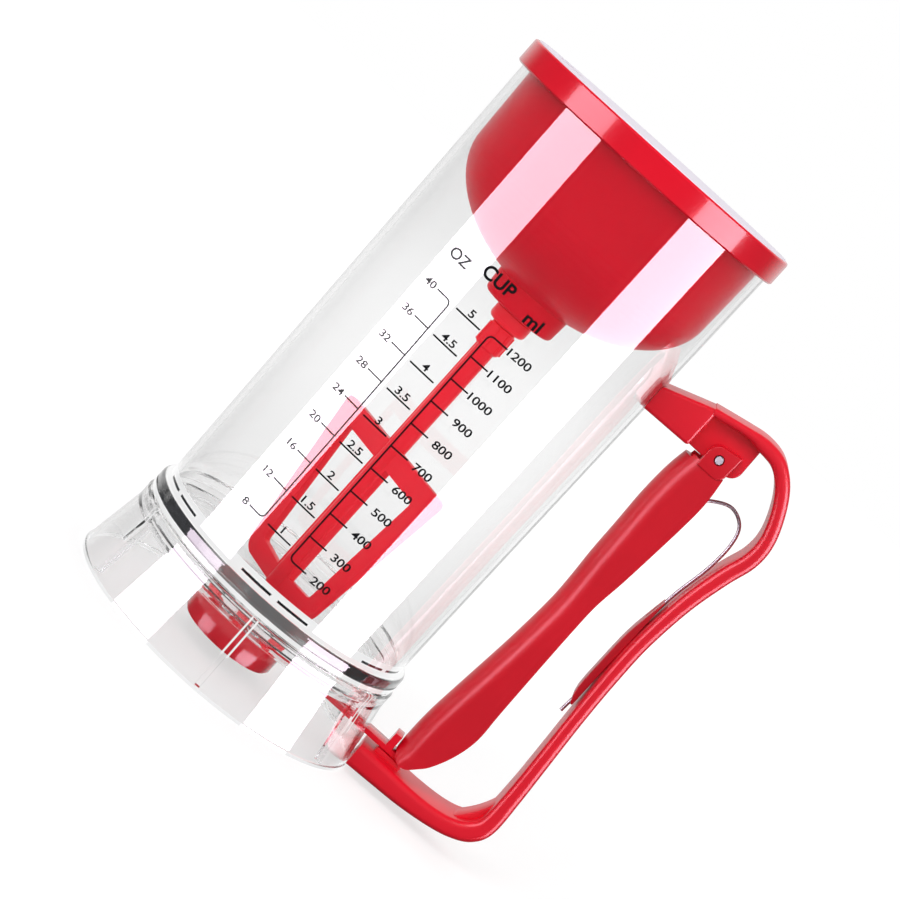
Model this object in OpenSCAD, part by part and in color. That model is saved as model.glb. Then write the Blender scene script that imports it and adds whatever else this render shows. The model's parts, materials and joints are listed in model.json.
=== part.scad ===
// Hand-held batter dispenser. A clear tapered jar stands on a flared clear
// skirt. A lid unit with batteries and a geared motor hangs in its mouth and
// turns a stirring frame. Squeezing the lever against the grip pulls a sliding
// gate from under the jar's outlet, and a wire spring shuts it again.
// Millimetres, +Z up. The origin lies on the jar's axis, on the surface that
// the skirt stands on. +X points from the jar to the handle.

/* [Jar] */
// Outer diameter of the jar just above its foot ring
jar_foot_d = 112.8; // [104:0.2:116]
// Outer diameter of the jar at its rim
jar_rim_d = 116.8; // [110:0.2:120]
// Wall of the jar
jar_wall = 2.4; // [1.6:0.1:3]
// Height of the jar's rim above the ground
jar_rim_z = 241.7; // [230:0.5:260]
// Height of the underside of the jar's floor above the ground
floor_z = 28; // [26.5:0.5:31]
// Thickness of the floor at the outlet
floor_t = 2.4; // [1.6:0.1:3.4]
// Rise of the floor's shallow funnel from the outlet to the wall
funnel_rise = 2.6; // [1:0.1:4]
// Radius of the fillet between floor and wall
floor_fillet = 6.5; // [3:0.5:8]
// Diameter of the batter outlet
outlet_d = 16; // [12:0.5:17]
// Outer diameter of the jar's foot ring
ring_bead_d = 118.2; // [116:0.2:119]

/* [Skirt] */
// Diameter of the skirt on the ground
skirt_d = 129; // [122:0.5:140]
// Outer diameter of the collar at the top of the skirt
collar_d = 119.4; // [119:0.2:122]
// Height of the skirt
skirt_h = 32.2; // [31:0.2:33]
// Wall of the skirt
skirt_wall = 2; // [1.6:0.1:2.4]
// Number of stiffening ribs inside the skirt
rib_count = 6; // [4:1:8]
// Thickness of a rib
rib_t = 2; // [1.2:0.1:3]
// How far a rib stands in from the wall
rib_depth = 3; // [1.5:0.5:5]

/* [Valve] */
// Height of the gate's underside above the ground
gate_z = 15; // [14.4:0.1:16]
// Thickness of the gate and its bar
gate_t = 2; // [1.4:0.1:2.4]
// How far the gate laps over the outlet all round
gate_lap = 2.5; // [1.5:0.1:3]
// Width of the gate's pull bar
bar_w = 10; // [7:0.5:11]
// Outer diameter of the valve body
valve_d = 40; // [38:0.5:44]
// Depth of the valve body below the gate
valve_depth = 9.4; // [7:0.2:11]

/* [Lid] */
// How far the lid ring stands out from the jar's rim
ring_lap = 2.5; // [1.9:0.1:4.6]
// Height of the lid ring
ring_h = 10; // [9:0.5:14]
// Thickness of the battery cover
cover_t = 1.4; // [1:0.1:2]
// Diameter of the power button
button_d = 11.2; // [8:0.2:11.6]
// Travel of the power button
button_travel = 1.5; // [0.5:0.1:1.8]

/* [Motor housing] */
// Gap between the housing and the jar's wall at the rim
housing_gap = 1.2; // [0.9:0.1:3]
// Wall of the housing
housing_wall = 2.2; // [1.4:0.1:2.6]
// Depth of the housing's straight wall below the jar's rim
straight_h = 32.2; // [30:0.2:34]
// Depth of the rounded bowl
bowl_depth = 33.5; // [30:0.5:36]
// Diameter of the shaft boss under the bowl
boss_d = 31; // [26:0.5:34]
// Length of the shaft boss
boss_len = 9; // [6:0.5:10]
// Diameter of the gear motor
motor_d = 27.6; // [24:0.2:28]
// Length of the gear motor
motor_len = 44; // [36:0.5:46]
// Diameter of one cell
cell_d = 14.2; // [13.5:0.1:14.5]
// Length of one cell's case
cell_len = 49.3; // [48:0.1:49.5]
// Distance of the cells from the axis
cell_ring_r = 30; // [29:0.5:31]

/* [Stirrer] */
// Diameter of the steel drive shaft
shaft_d = 5; // [4:0.1:6]
// Diameter of the stirrer's rod
rod_d = 7.8; // [6:0.2:10]
// Half width of the stirring frame at its top
frame_top_r = 36.5; // [30:0.5:44]
// Half width of the stirring frame at its foot
frame_foot_r = 25.4; // [20:0.5:32]
// Height of the frame's top edge above the ground
frame_top_z = 102; // [80:1:130]
// Gap between the frame's foot and the jar's floor
frame_floor_gap = 1; // [0.6:0.1:2]
// Thickness of the frame
frame_t = 3.2; // [2:0.1:5]
// Turn of the frame about the axis at rest
frame_turn = -44; // [-90:1:90]

/* [Handle] */
// Width of the handle
handle_w = 24; // [20:0.5:28]
// Distance of the grip's middle line from the jar's axis
grip_x = 114; // [112:0.5:122]
// Height of the lower arm's middle above the ground
arm_low_z = 7.6; // [7.2:0.1:8.4]
// Height of the top of the handle's loop
handle_top_z = 196; // [192:0.5:204]
// Thickness of the grip at its waist
grip_t = 5.8; // [4.5:0.1:7]
// Edge rounding of the grip
grip_round = 1.9; // [0.6:0.1:2.1]
// Distance of the lever's pivot from the jar's axis
pivot_x = 89.6; // [88:0.2:91]
// Height of the lever's pivot above the ground
pivot_z = 178.5; // [177:0.5:180]
// Diameter of the pivot pin
pin_d = 3; // [2:0.1:3.4]

/* [Lever] */
// Width of the lever
lever_w = 19; // [17:0.5:20]
// Wall of the lever's channel
lever_wall = 2.4; // [1.6:0.1:2.6]
// Radius of the lever's front edges
lever_round = 7; // [3:0.5:7.5]
// Height of the lever's lowest point above the ground
lever_foot_z = 15.5; // [15.3:0.1:16]

/* [Spring] */
// Diameter of the return spring's wire
wire_d = 1.4; // [1:0.1:1.8]

/* [Hidden] */
// Clearances
fit = 0.2;          // between parts that are assembled and stay
slide_gap = 0.4;    // between parts that slide on each other
run_gap = 0.05;     // radial, for a shaft or pin that turns in its bore
seat = 0.1;         // between a face and what it rests on
eps = 0.01;
fine = 96;          // segments of large rounds
medium = 48;        // segments of small rounds

// Jar and foot ring
outlet_r = outlet_d / 2;
ring_top_z = floor_z + 13;
ring_mid_z = floor_z + 10.2;
ring_low_z = skirt_h + 1.3;
foot_z = floor_z + 0.2;
foot_wall = 3.2;
foot_r = collar_d / 2 - skirt_wall - fit;
function jar_r(z) = jar_foot_d / 2
    + (jar_rim_d - jar_foot_d) / 2 * (z - ring_top_z) / (jar_rim_z - ring_top_z);
floor_top_z = floor_z + floor_t;
floor_edge_z = floor_top_z + funnel_rise;
fillet_z = floor_edge_z + floor_fillet;
fillet_r = jar_r(fillet_z) - jar_wall;
joint_r = fillet_r - floor_fillet - 0.3;    // where the floor is bonded into the jar
under_rise = 1.2;                           // rise of the floor's underside
under_r = jar_r(ring_top_z) - foot_wall - 2;
function under_z(r) = floor_z + under_rise * (r - outlet_r) / (under_r - outlet_r);
function funnel_z(r) = floor_top_z + funnel_rise * (r - outlet_r) / (fillet_r - floor_fillet - outlet_r);

// Valve
gate_top_z = gate_z + gate_t;
valve_top_z = gate_top_z + fit;
valve_bottom_z = gate_z - valve_depth;
valve_r = valve_d / 2;
gate_r = outlet_r + gate_lap;
spout_r = outlet_r + 3;
flange_under_z = floor_z - 1.7;             // underside of the outlet seat's flange
valve_screw_r = 1.25;
valve_screw_xy = [6.2, gate_r + slide_gap + valve_screw_r + 2];
valve_plate_t = 3.4;
valve_screw_z = gate_z - valve_plate_t - seat;
valve_screw_len = flange_under_z - 1.8 - valve_screw_z;

// Skirt
collar_low_z = floor_z - 2;
shelf_t = 1.6;
rib_turn = -86;             // turn of the first rib from the handle
function skirt_r(z) = z > collar_low_z ? collar_d / 2
    : collar_d / 2 + (skirt_d - collar_d) / 2 * (1 - z / collar_low_z);

// Handle: the loop's middle line is a curve through a few points. Each is
// [outward of the grip line, share of the height from lower arm to top, thickness].
loop_z0 = arm_low_z;
loop_h = handle_top_z - 2.8 - arm_low_z;
arm_t = 9.4;
arm_end_x = skirt_r(arm_low_z) + 0.4;
loop_corner = [
    [-26, 0.003, 8.2], [-13.5, 0.01, 7.4], [-5, 0.022, 7.4], [1, 0.042, 7.8], [4, 0.075, 7.2],
    [3.8, 0.15, 6.4], [2.8, 0.23, 6], [1, 0.36, 5.7], [0, 0.47, grip_t], [0, 0.56, grip_t],
    [1.8, 0.665, 6.1], [5.2, 0.755, 6.4], [8.4, 0.815, 6.2], [8.2, 0.865, 5.8],
    [4.3, 0.92, 5.5], [-1.2, 0.965, 5.6], [-8, 0.993, 5.7], [-16, 1, 5.6], [-24, 0.999, 3.4]];
arm_top_x = 77.5;           // where the solid upper arm ends and the pocket begins
arm_top_low_z = pivot_z - 4.1;
arm_top_high_z = handle_top_z - 3.8;
arm_slope = 0.345;          // rise of the upper arm's top, per mm outwards
lug_t = 12.6;               // thickness of the hinge lug under the loop
ear_t = lever_w / 2 + 0.6 - lug_t / 2 - slide_gap;
mount_lug_w = 11.6;
mount_lug_h = 5;
handle_screw_r = 1.5;
screw_head_r = 2.7;
screw_head_h = 1.5;
upper_recess = 2;           // depth of the screw heads' seats
lower_recess = 1.6;
upper_lug_z = arm_top_low_z + 4;
upper_screw_x = jar_r(upper_lug_z) + 6.5;
lower_lug_z = arm_low_z - 1.6;
lower_lug_h = 4.2;
lower_screw_x = arm_end_x + 7;

// Lever: each station is [height, front edge, back edge], with the heights
// shared out between foot and pivot and the edges measured from the pivot.
lever_h = pivot_z - 4.5 - lever_foot_z;
lever_stations = [
    [0, -13, -9.2], [0.006, -14.9, -7.4], [0.022, -15.5, -5], [0.045, -15.8, -2],
    [0.09, -15.9, 1.4], [0.14, -15.6, 3.7], [0.185, -15, 4.4], [0.25, -14, 3.9],
    [0.39, -11.9, 3.3], [0.515, -10.7, 2.9], [0.59, -10.9, 3], [0.67, -11.7, 4.4],
    [0.76, -12.1, 5.6], [0.845, -12.6, 6.6], [0.91, -12.4, 7.1], [0.955, -11.8, 6.8], [1, -10.6, 5.9]];
tongue_z = lever_foot_z + 2.5;      // lower edge of the web that drives the gate
tongue_x = pivot_x - 15.7;          // front face of that web
drive_gap = 0.6;                    // between the web and the posts of the gate's bar
post_t = 3;
post_h = 6;
ear_drop = 6.4;
ear_rise = 6;

// Housing and lid, stacked up from the rim
bowl_z = jar_rim_z - straight_h;
ring_d = jar_rim_d + 2 * ring_lap;
gasket_z = jar_rim_z + seat;
gasket_t = 0.7;
flange_z = gasket_z + gasket_t + seat;
flange_t = 1.3;
shelf_z = flange_z + flange_t + seat;
ring_shelf_t = 1.8;
cover_z = shelf_z + ring_shelf_t + 0.3;
cover_top_z = cover_z + cover_t;
cover_r = ring_d / 2 - 1.5;
ring_bottom_z = cover_top_z - 0.5 - ring_h;
housing_r = jar_rim_d / 2 - jar_wall - housing_gap;
bowl_r = housing_r - 0.8;
flange_r = jar_rim_d / 2 + 0.3;
inner_r = bowl_r - housing_wall;
bowl_bottom_z = bowl_z - bowl_depth;
boss_r = boss_d / 2;
boss_z = bowl_bottom_z + 0.9 - boss_len;
motor_r = motor_d / 2;
motor_z = bowl_bottom_z + housing_wall + 3;
motor_wall = 1.8;
socket_top_z = motor_z + 12;
ring_screw_at = inner_r - 2.2;
ring_screw_r = 1.3;
ring_screw_len = 9;
post_r = 3.4;
cell_r = cell_d / 2;
tube_wall = 1.1;
tube_r = cell_r + 0.25 + tube_wall;
contact_gap = 0.1;
cell_top_z = cover_z - 2.4;         // top of a cell's button
cell_z = cell_top_z - 1 - cell_len;
spring_h = 2.2;                     // seated height of a contact spring
tray_z = cell_z - spring_h - 1.4;
deck_z = shelf_z - 10;
deck_t = 2;
shelf_r = cell_ring_r + cell_r + 1.6;
button_r = button_d / 2;
button_flange_r = button_r + 1;
button_x = -(inner_r - button_flange_r - 0.5);
button_flange_z = shelf_z - 0.2 - 1.2;
button_top_z = cover_top_z - 0.9;
switch_top_z = button_flange_z - button_travel - 0.7;
switch_stem_r = 1.5;
deck_r = inner_r - 0.5;

// Stirrer and drive
shaft_r = shaft_d / 2;
bush_r = shaft_r + 1.8;
bush_len = 6;
seal_r = shaft_r + 2.4;
shaft_bottom_z = boss_z - 14.4;
shaft_top_z = motor_z + 6;
coupling_z = boss_z - 6.4;
coupling_h = 5.9;
head_h = 10.6;
head_r = shaft_r + 2.7;
rod_r = rod_d / 2;
frame_foot_z = floor_top_z + funnel_rise * 0.6 + frame_floor_gap - 0.6;
bar_top = 8.6;              // height of the frame's top bar
bar_side = 9;               // width of its sides

// Spring: the wire's middle line, from the lever round to its free end
spring_tip = [pivot_x - 7, pivot_z - 28];
spring_line = [             // outwards and upwards of the clip's middle, in hundredths of the loop's height
    [0.05, 7.5], [0.7, 16.2], [2.05, 24.2], [2.2, 30.7], [0.86, 34.75], [-2.7, 36.4], [-6.7, 34.5],
        [-10.5, 31]];
clip_z = arm_low_z + loop_h * 0.5;
clip_len = 51;
clip_w = 10;
clip_wall = 1.3;
spring_slot = wire_d + 2 * fit;
clip_x = grip_x - grip_t / 2 - fit;
wire_x = clip_x - wire_d / 2;

// ---- Curves and skins -------------------------------------------------

// Smooth curve through the points p, with n steps from each to the next
function curve_at(a, b, c, d, t) =
    0.5 * (2 * b + (c - a) * t + (2 * a - 5 * b + 4 * c - d) * t * t + (3 * b - a - 3 * c + d) * t * t * t);
function curve(p, n) = let (m = len(p) - 1) [
    for (i = [0:m - 1], k = [0:n - 1])
        curve_at(p[max(i - 1, 0)], p[i], p[i + 1], p[min(i + 2, m)], k / n),
    p[m]];

// Points of an arc about c, from angle a to angle b, in n steps
function arc(c, r, a, b, n) = [for (i = [0:n]) let (t = a + (b - a) * i / n) c + r * [cos(t), sin(t)]];

// Closed solid over rings of points, all with the same number of points, which run
// clockwise as seen from the last ring
module skin(rings) {
    m = len(rings[0]);
    last = (len(rings) - 1) * m;
    sides = [for (i = [0:len(rings) - 2], j = [0:m - 1])
        let (a = i * m + j, b = i * m + (j + 1) % m)
            each [[a, b, b + m], [a, b + m, a + m]]];
    polyhedron(
        points = [for (ring = rings) each ring],
        faces = concat(sides, [[for (j = [m - 1:-1:0]) j]], [[for (j = [0:m - 1]) last + j]]));
}

// Unit direction of a path at point i
function heading(p, i) = let (
    a = p[max(i - 1, 0)], b = p[min(i + 1, len(p) - 1)],
    d = [b[0] - a[0], b[1] - a[1]]) d / norm(d);

// Band along a path of [x, z, thickness] in the XZ plane, w wide, with rounded edges
module ribbon(path, w, edge) {
    skin([for (i = [0:len(path) - 1])
        let (p = path[i], d = heading(path, i), n = [-d[1], d[0]],
            r = min(edge, p[2] / 2 - 0.05), u = p[2] / 2 - r, v = w / 2 - r)
            [for (c = [[u, v, 0], [-u, v, 90], [-u, -v, 180], [u, -v, 270]], k = [0:3])
                let (q = [c[0], c[1]] + r * [cos(c[2] + 30 * k), sin(c[2] + 30 * k)])
                    [p[0] + n[0] * q[0], q[1], p[1] + n[1] * q[0]]]]);
}

// Round wire along points in space, with n sides; side is a direction that the path never takes
module wire(path, r, n, side) {
    skin([for (i = [0:len(path) - 1])
        let (d0 = path[min(i + 1, len(path) - 1)] - path[max(i - 1, 0)], d = d0 / norm(d0),
            u0 = cross(d, side), u = u0 / norm(u0), v = cross(d, u))
            [for (k = [0:n - 1]) path[i] + r * (cos(360 * k / n) * u - sin(360 * k / n) * v)]]);
}

// Flat shape in the XZ plane, w wide about Y = 0
module upright(w) {
    rotate([90, 0, 0]) linear_extrude(w, center = true) children();
}

// Tube or washer
module tube(r_out, r_in, h) {
    difference() {
        cylinder(r = r_out, h = h, $fn = fine);
        translate([0, 0, -eps]) cylinder(r = r_in, h = h + 2 * eps, $fn = fine);
    }
}

// Pan head screw along +Z, its head below z = 0
module screw(r, len, head_r, head_h) {
    cylinder(r = r, h = len, $fn = medium);
    difference() {
        translate([0, 0, -head_h]) cylinder(r = head_r, h = head_h, $fn = medium);
        translate([0, 0, -head_h - eps]) for (a = [0, 90])
            rotate([0, 0, a]) translate([-head_r * 0.6, -0.25, 0]) cube([head_r * 1.2, 0.5, head_h * 0.5]);
    }
}

// ---- Jar, skirt and valve --------------------------------------------

module jar() {
    color("white", 0.35) difference() {
        union() {
            rotate_extrude($fn = fine) difference() {
                polygon(concat(
                    [[joint_r, under_z(joint_r)], [under_r, floor_z + under_rise],
                     [foot_r - foot_wall, foot_z], [foot_r, foot_z],
                     [foot_r, skirt_h + 0.3]],
                    arc([ring_bead_d / 2 - 0.8, ring_low_z], 0.8, -90, 0, 4),
                    arc([ring_bead_d / 2 - 1.6, ring_mid_z], 1.6, 0, 70, 5),
                    [[jar_r(ring_top_z), ring_top_z]],
                    arc([jar_r(jar_rim_z) - 0.9, jar_rim_z - 0.9], 0.9, 0, 90, 4),
                    [[jar_r(jar_rim_z) - jar_wall, jar_rim_z], [fillet_r, fillet_z]],
                    arc([fillet_r - floor_fillet, fillet_z], floor_fillet, 0, -90, 8),
                    [[joint_r, funnel_z(joint_r)]]));
                // groove round the foot ring
                translate([ring_bead_d / 2, (ring_low_z + ring_mid_z) / 2]) square([1.4, 0.8], center = true);
            }
            // lug inside the handle's upper arm
            translate([jar_r(upper_lug_z) - 1.2, -mount_lug_w / 2, upper_lug_z])
                cube([13, mount_lug_w, mount_lug_h]);
        }
        translate([upper_screw_x, 0, upper_lug_z - 1])
            cylinder(r = handle_screw_r + run_gap, h = 5, $fn = medium);
    }
}

// Funnel floor, bonded into the jar's foot
module jar_floor() {
    color("white", 0.35) rotate_extrude($fn = fine) polygon([
        [spout_r + run_gap, under_z(spout_r)], [joint_r - run_gap, under_z(joint_r)],
        [joint_r - run_gap, funnel_z(joint_r)], [spout_r + run_gap, funnel_z(spout_r)]]);
}

// Outlet tube with the posts that the valve is screwed to, bonded under the floor
module outlet_seat() {
    color("white", 0.35) difference() {
        union() {
            translate([0, 0, valve_top_z + seat]) rotate_extrude($fn = fine) polygon([
                [outlet_r, 0], [spout_r, 0], [spout_r, floor_top_z - valve_top_z - seat],
                [outlet_r + 1.2, floor_top_z - valve_top_z - seat],
                [outlet_r, floor_top_z - valve_top_z - seat - 1.2]]);
            translate([0, 0, flange_under_z])
                tube(valve_r - 1, outlet_r + 1, floor_z - seat - flange_under_z);
            valve_posts() cylinder(r = 2.9, h = flange_under_z - valve_top_z, $fn = medium);
        }
        // seat of the valve seal
        translate([0, 0, valve_top_z]) tube(outlet_r + 2.4, outlet_r + 0.5, 1.4);
        valve_posts() translate([0, 0, -1])
            cylinder(r = valve_screw_r + run_gap, h = flange_under_z - valve_top_z + 0.9, $fn = medium);
    }
}

module valve_posts() {
    for (x = [-1, 1], y = [-1, 1])
        translate([x * valve_screw_xy[0], y * valve_screw_xy[1], valve_top_z + seat]) children();
}

module base_skirt() {
    color("white", 0.35) difference() {
        union() {
            rotate_extrude($fn = fine) polygon([
                [skirt_r(0) - skirt_wall, 0], [skirt_r(0), 0], [skirt_r(0), 1.2], [skirt_r(1.2) - 0.3, 1.6],
                [skirt_r(collar_low_z), collar_low_z], [collar_d / 2, skirt_h - 0.8],
                    [collar_d / 2 - 0.8, skirt_h],
                [foot_r + fit, skirt_h], [foot_r + fit, foot_z - fit], [foot_r - foot_wall, foot_z - fit],
                [foot_r - foot_wall, foot_z - fit - shelf_t],
                [skirt_r(foot_z - 4) - skirt_wall, foot_z - fit - shelf_t - 1.2]]);
            for (i = [0:rib_count - 1]) rotate([0, 0, i * 360 / rib_count + rib_turn]) upright(rib_t)
                polygon([
                [skirt_r(1) - skirt_wall + 0.5, 1], [skirt_r(foot_z - 3) - skirt_wall + 0.5, foot_z - 1],
                [skirt_r(foot_z - 3) - skirt_wall - rib_depth, foot_z - 1],
                    [skirt_r(1) - skirt_wall - rib_depth, 1]]);
            // lug inside the handle's lower arm
            translate([arm_end_x - 2.2, -mount_lug_w / 2, lower_lug_z]) cube([14, mount_lug_w, lower_lug_h]);
        }
        // window for the gate's bar
        translate([foot_r - foot_wall - 2, -bar_w / 2 - slide_gap, gate_z - slide_gap])
            cube([12, bar_w + 2 * slide_gap, gate_t + 2 * slide_gap]);
        translate([lower_screw_x, 0, lower_lug_z - 1])
            cylinder(r = handle_screw_r + run_gap, h = 4.4, $fn = medium);
    }
}

// Outline of the gate's pocket or plate, g larger all round
module gate_shape(g) {
    circle(r = gate_r + g, $fn = fine);
    translate([0, -gate_r - g]) square([valve_r + g, 2 * (gate_r + g)]);
}

module valve_body() {
    plate_z = gate_z - valve_plate_t;
    color("crimson") difference() {
        union() {
            translate([0, 0, plate_z]) cylinder(r = valve_r - 1, h = valve_top_z - plate_z, $fn = fine);
            translate([0, 0, valve_bottom_z + 1])
                tube(valve_r, valve_r - 2, valve_top_z - 0.8 - valve_bottom_z - 1);
            translate([0, 0, valve_bottom_z]) tube(valve_r - 0.8, valve_r - 2, 1.5);
            translate([0, 0, valve_bottom_z]) cylinder(r = outlet_r + 1.8, h = valve_depth - 1, $fn = fine);
        }
        translate([0, 0, valve_bottom_z - 1]) cylinder(r = outlet_r, h = valve_depth + 2, $fn = fine);
        translate([0, 0, gate_z - fit]) linear_extrude(5) gate_shape(slide_gap);
        for (x = [-1, 1], y = [-1, 1]) translate([x * valve_screw_xy[0], y * valve_screw_xy[1], plate_z - 1])
            cylinder(r = valve_screw_r + fit, h = 10, $fn = medium);
    }
}

module valve_seal() {
    color("whitesmoke") translate([0, 0, gate_top_z + seat]) tube(outlet_r + 2.2, outlet_r + 0.7, 1.4);
}

module valve_screws() {
    color("silver") for (x = [-1, 1], y = [-1, 1])
        translate([x * valve_screw_xy[0], y * valve_screw_xy[1], valve_screw_z])
            screw(valve_screw_r, valve_screw_len, 2.2, 1.5);
}

module valve_slider() {
    post_x = tongue_x + lever_wall + drive_gap;
    color("crimson") {
        translate([0, 0, gate_z]) linear_extrude(gate_t) {
            circle(r = gate_r, $fn = fine);
            polygon([
                [0, -gate_r], [valve_r - 1, -gate_r], [valve_r + 9, -bar_w / 2],
                    [post_x + post_t, -bar_w / 2],
                [post_x + post_t, bar_w / 2], [valve_r + 9, bar_w / 2], [valve_r - 1, gate_r], [0, gate_r]]);
        }
        // posts in front of and behind the lever's web
        translate([tongue_x - drive_gap - post_t, -bar_w / 2, gate_top_z - eps])
            cube([post_t, bar_w, post_h]);
        translate([post_x, -bar_w / 2 + 1, gate_top_z - eps]) cube([post_t - 0.4, bar_w - 2, post_h + 0.5]);
        // stiffening rib
        translate([valve_r + 14, -0.7, gate_top_z - eps])
            cube([tongue_x - drive_gap - post_t - valve_r - 14 - 9, 1.4, 0.35]);
    }
}

// ---- Handle, lever and spring ----------------------------------------

function loop_points() = concat(
    [[arm_end_x, loop_z0, arm_t],
     [(arm_end_x + grip_x + loop_corner[0][0]) / 2, loop_z0 + 0.3, arm_t - 0.4]],
    [for (p = loop_corner) [grip_x + p[0], loop_z0 + loop_h * p[1], p[2]]]);

module handle_frame() {
    color("red") difference() {
        union() {
            ribbon(concat(curve(loop_points(), 4), [[arm_top_x - 1, arm_top_high_z - 1.9, 3.4]]),
                handle_w, grip_round);
            // solid upper arm
            upright(handle_w) polygon([
                [jar_r(pivot_z) - 6, arm_top_low_z], [arm_top_x, arm_top_low_z + 0.5],
                [arm_top_x, arm_top_high_z - 0.2],
                [arm_top_x - 6, arm_top_high_z - 0.3 - 6 * arm_slope * 0.9],
                [jar_r(pivot_z) - 6, arm_top_high_z - (arm_top_x - jar_r(pivot_z) + 6) * arm_slope * 1.02]]);
            // hinge lug
            upright(lug_t) polygon(concat(
                [[arm_top_x - 1, arm_top_high_z - 1], [arm_top_x - 1, arm_top_low_z + 1]],
                arc([pivot_x + 4.8, arm_top_low_z + 5.5], 4.8, -90, 0, 6),
                [[pivot_x + 9.2, arm_top_high_z - 1]]));
            // gusset in the lower corner
            upright(lug_t) polygon(concat(
                [[grip_x + 3, arm_low_z + 4], [grip_x - 11, arm_low_z + 3]],
                arc([grip_x - 33, arm_low_z + 32], 35.5, -46, -12, 6),
                [[grip_x + 3, arm_low_z + 25]]));
            // pad that carries the gate's bar
            translate([arm_end_x + 5, -bar_w / 2, arm_low_z])
                cube([12, bar_w, gate_z - slide_gap - arm_low_z]);
        }
        // saddle against the jar
        translate([0, 0, ring_top_z])
            cylinder(r1 = jar_r(ring_top_z) + fit, r2 = jar_r(jar_rim_z) + fit,
                h = jar_rim_z - ring_top_z, $fn = fine);
        // saddle against the skirt
        cylinder(r1 = skirt_r(0) + fit, r2 = skirt_r(collar_low_z) + fit, h = collar_low_z, $fn = fine);
        // sockets for the lugs of jar and skirt, and their screws
        translate([jar_r(upper_lug_z) - 3, -mount_lug_w / 2 - fit, upper_lug_z - fit])
            cube([15.3, mount_lug_w + 2 * fit, mount_lug_h + 2 * fit]);
        translate([arm_end_x - 3, -mount_lug_w / 2 - fit, lower_lug_z - fit])
            cube([15.3, mount_lug_w + 2 * fit, lower_lug_h + 2 * fit]);
        for (p = [[upper_screw_x, arm_top_low_z, upper_recess],
            [lower_screw_x, arm_low_z - arm_t / 2, lower_recess]])
            translate([p[0], 0, p[1] - 2]) {
                cylinder(r = handle_screw_r + fit, h = 7, $fn = medium);
                cylinder(r = screw_head_r + fit, h = 2 + p[2], $fn = medium);
            }
        // bore of the pivot pin
        translate([pivot_x, 0, pivot_z]) rotate([90, 0, 0])
            cylinder(r = pin_d / 2 + 0.02, h = lug_t + 2, center = true, $fn = medium);
    }
}

module handle_screws() {
    color("silver") {
        translate([upper_screw_x, 0, arm_top_low_z + upper_recess - seat])
            screw(handle_screw_r, 5.7, screw_head_r, screw_head_h);
        translate([lower_screw_x, 0, arm_low_z - arm_t / 2 + lower_recess - seat])
            screw(handle_screw_r, 4.7, screw_head_r, screw_head_h);
    }
}

// Ring of the lever at a station: a channel section, rounded in front
function lever_ring(s, grow, back) = let (
        front = pivot_x + s[1] + grow, rear = pivot_x + s[2] + back, w = lever_w / 2 - grow,
        r = min(max(lever_round - grow, 1), (rear - front) * 0.7, w - 0.5), z = lever_foot_z + lever_h * s[0])
    [for (q = concat([[rear, -w]],
            arc([front + r, r - w], r, 270, 180, 6), arc([front + r, w - r], r, 180, 90, 6), [[rear, w]]))
        [q[0], q[1], z]];

module lever() {
    stations = curve(lever_stations, 2);
    core = [for (s = stations) if (s[0] > 0.02) s];
    color("firebrick") difference() {
        union() {
            skin([for (s = stations) lever_ring(s, 0, 0)]);
            // ears that take the pin
            for (y = [-1, 1]) translate([0, y * (lug_t / 2 + slide_gap + ear_t / 2), 0]) upright(ear_t)
                polygon(concat([[pivot_x + 6.1, pivot_z + ear_rise]],
                    arc([pivot_x + 0.2, pivot_z - 0.4], 5.6, 118, 176, 5),
                    [[pivot_x - 5.2, pivot_z - ear_drop]],
                    arc([pivot_x + 2, pivot_z - ear_drop + 4], 4, -90, -20, 4)));
        }
        skin(concat([for (s = core) lever_ring(s, lever_wall, 9)],
            [lever_ring(lever_stations[len(lever_stations) - 1] + [0.05, 0, 0], lever_wall, 9)]));
        // room for the hinge lug
        translate([0, 0, arm_top_low_z - 2]) translate([pivot_x - 20, -lug_t / 2 - slide_gap, 0])
            cube([40, lug_t + 2 * slide_gap, 20]);
        // notch that straddles the gate's bar
        translate([pivot_x - 25, -bar_w / 2 - 2 * slide_gap, 0]) {
            cube([45, bar_w + 4 * slide_gap, tongue_z]);
            translate([25 + tongue_x + lever_wall - pivot_x, 0, 0])
                cube([30, bar_w + 4 * slide_gap, tongue_z + 2]);
        }
        translate([pivot_x, 0, pivot_z]) rotate([90, 0, 0])
            cylinder(r = pin_d / 2 + run_gap, h = lever_w + 6, center = true, $fn = medium);
    }
}

module pivot_pin() {
    color("silver") translate([pivot_x, 0, pivot_z]) rotate([90, 0, 0])
        cylinder(r = pin_d / 2, h = lug_t + 2 * (slide_gap + ear_t) + 0.2, center = true, $fn = medium);
}

// Middle line of the wire, up from its free end, over the hook and down to the lever
function spring_points() = concat(
    [[wire_x - 0.6, 0, clip_z - clip_len / 2 - 5], [wire_x, 0, clip_z - clip_len / 2 + 8],
     [wire_x, 0, clip_z]],
    [for (p = spring_line) [wire_x + p[0] * loop_h / 100, 0, clip_z + p[1] * loop_h / 100]],
    [[spring_tip[0], 0, spring_tip[1]]]);

module return_spring() {
    color("dimgray") wire(curve(spring_points(), 5), wire_d / 2, 8, [0, 1, 0]);
}

module spring_clip() {
    low = clip_z - clip_len / 2;
    color("darkred") difference() {
        upright(clip_w) polygon(concat(
            [[clip_x, low], [clip_x - 0.6, low]],
            [for (p = curve([[0.9, 0], [2.8, 0.12], [3.1, 0.4], [2.9, 0.65], [1.7, 0.85], [0.5, 1]], 3))
                [clip_x - p[0], low + clip_len * p[1]]],
            [[clip_x, low + clip_len]]));
        // slot that the wire is threaded through
        translate([clip_x - spring_slot, -spring_slot / 2, low - 1])
            cube([spring_slot + 1, spring_slot, clip_len + 2]);
    }
}

// ---- Lid unit ---------------------------------------------------------

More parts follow.
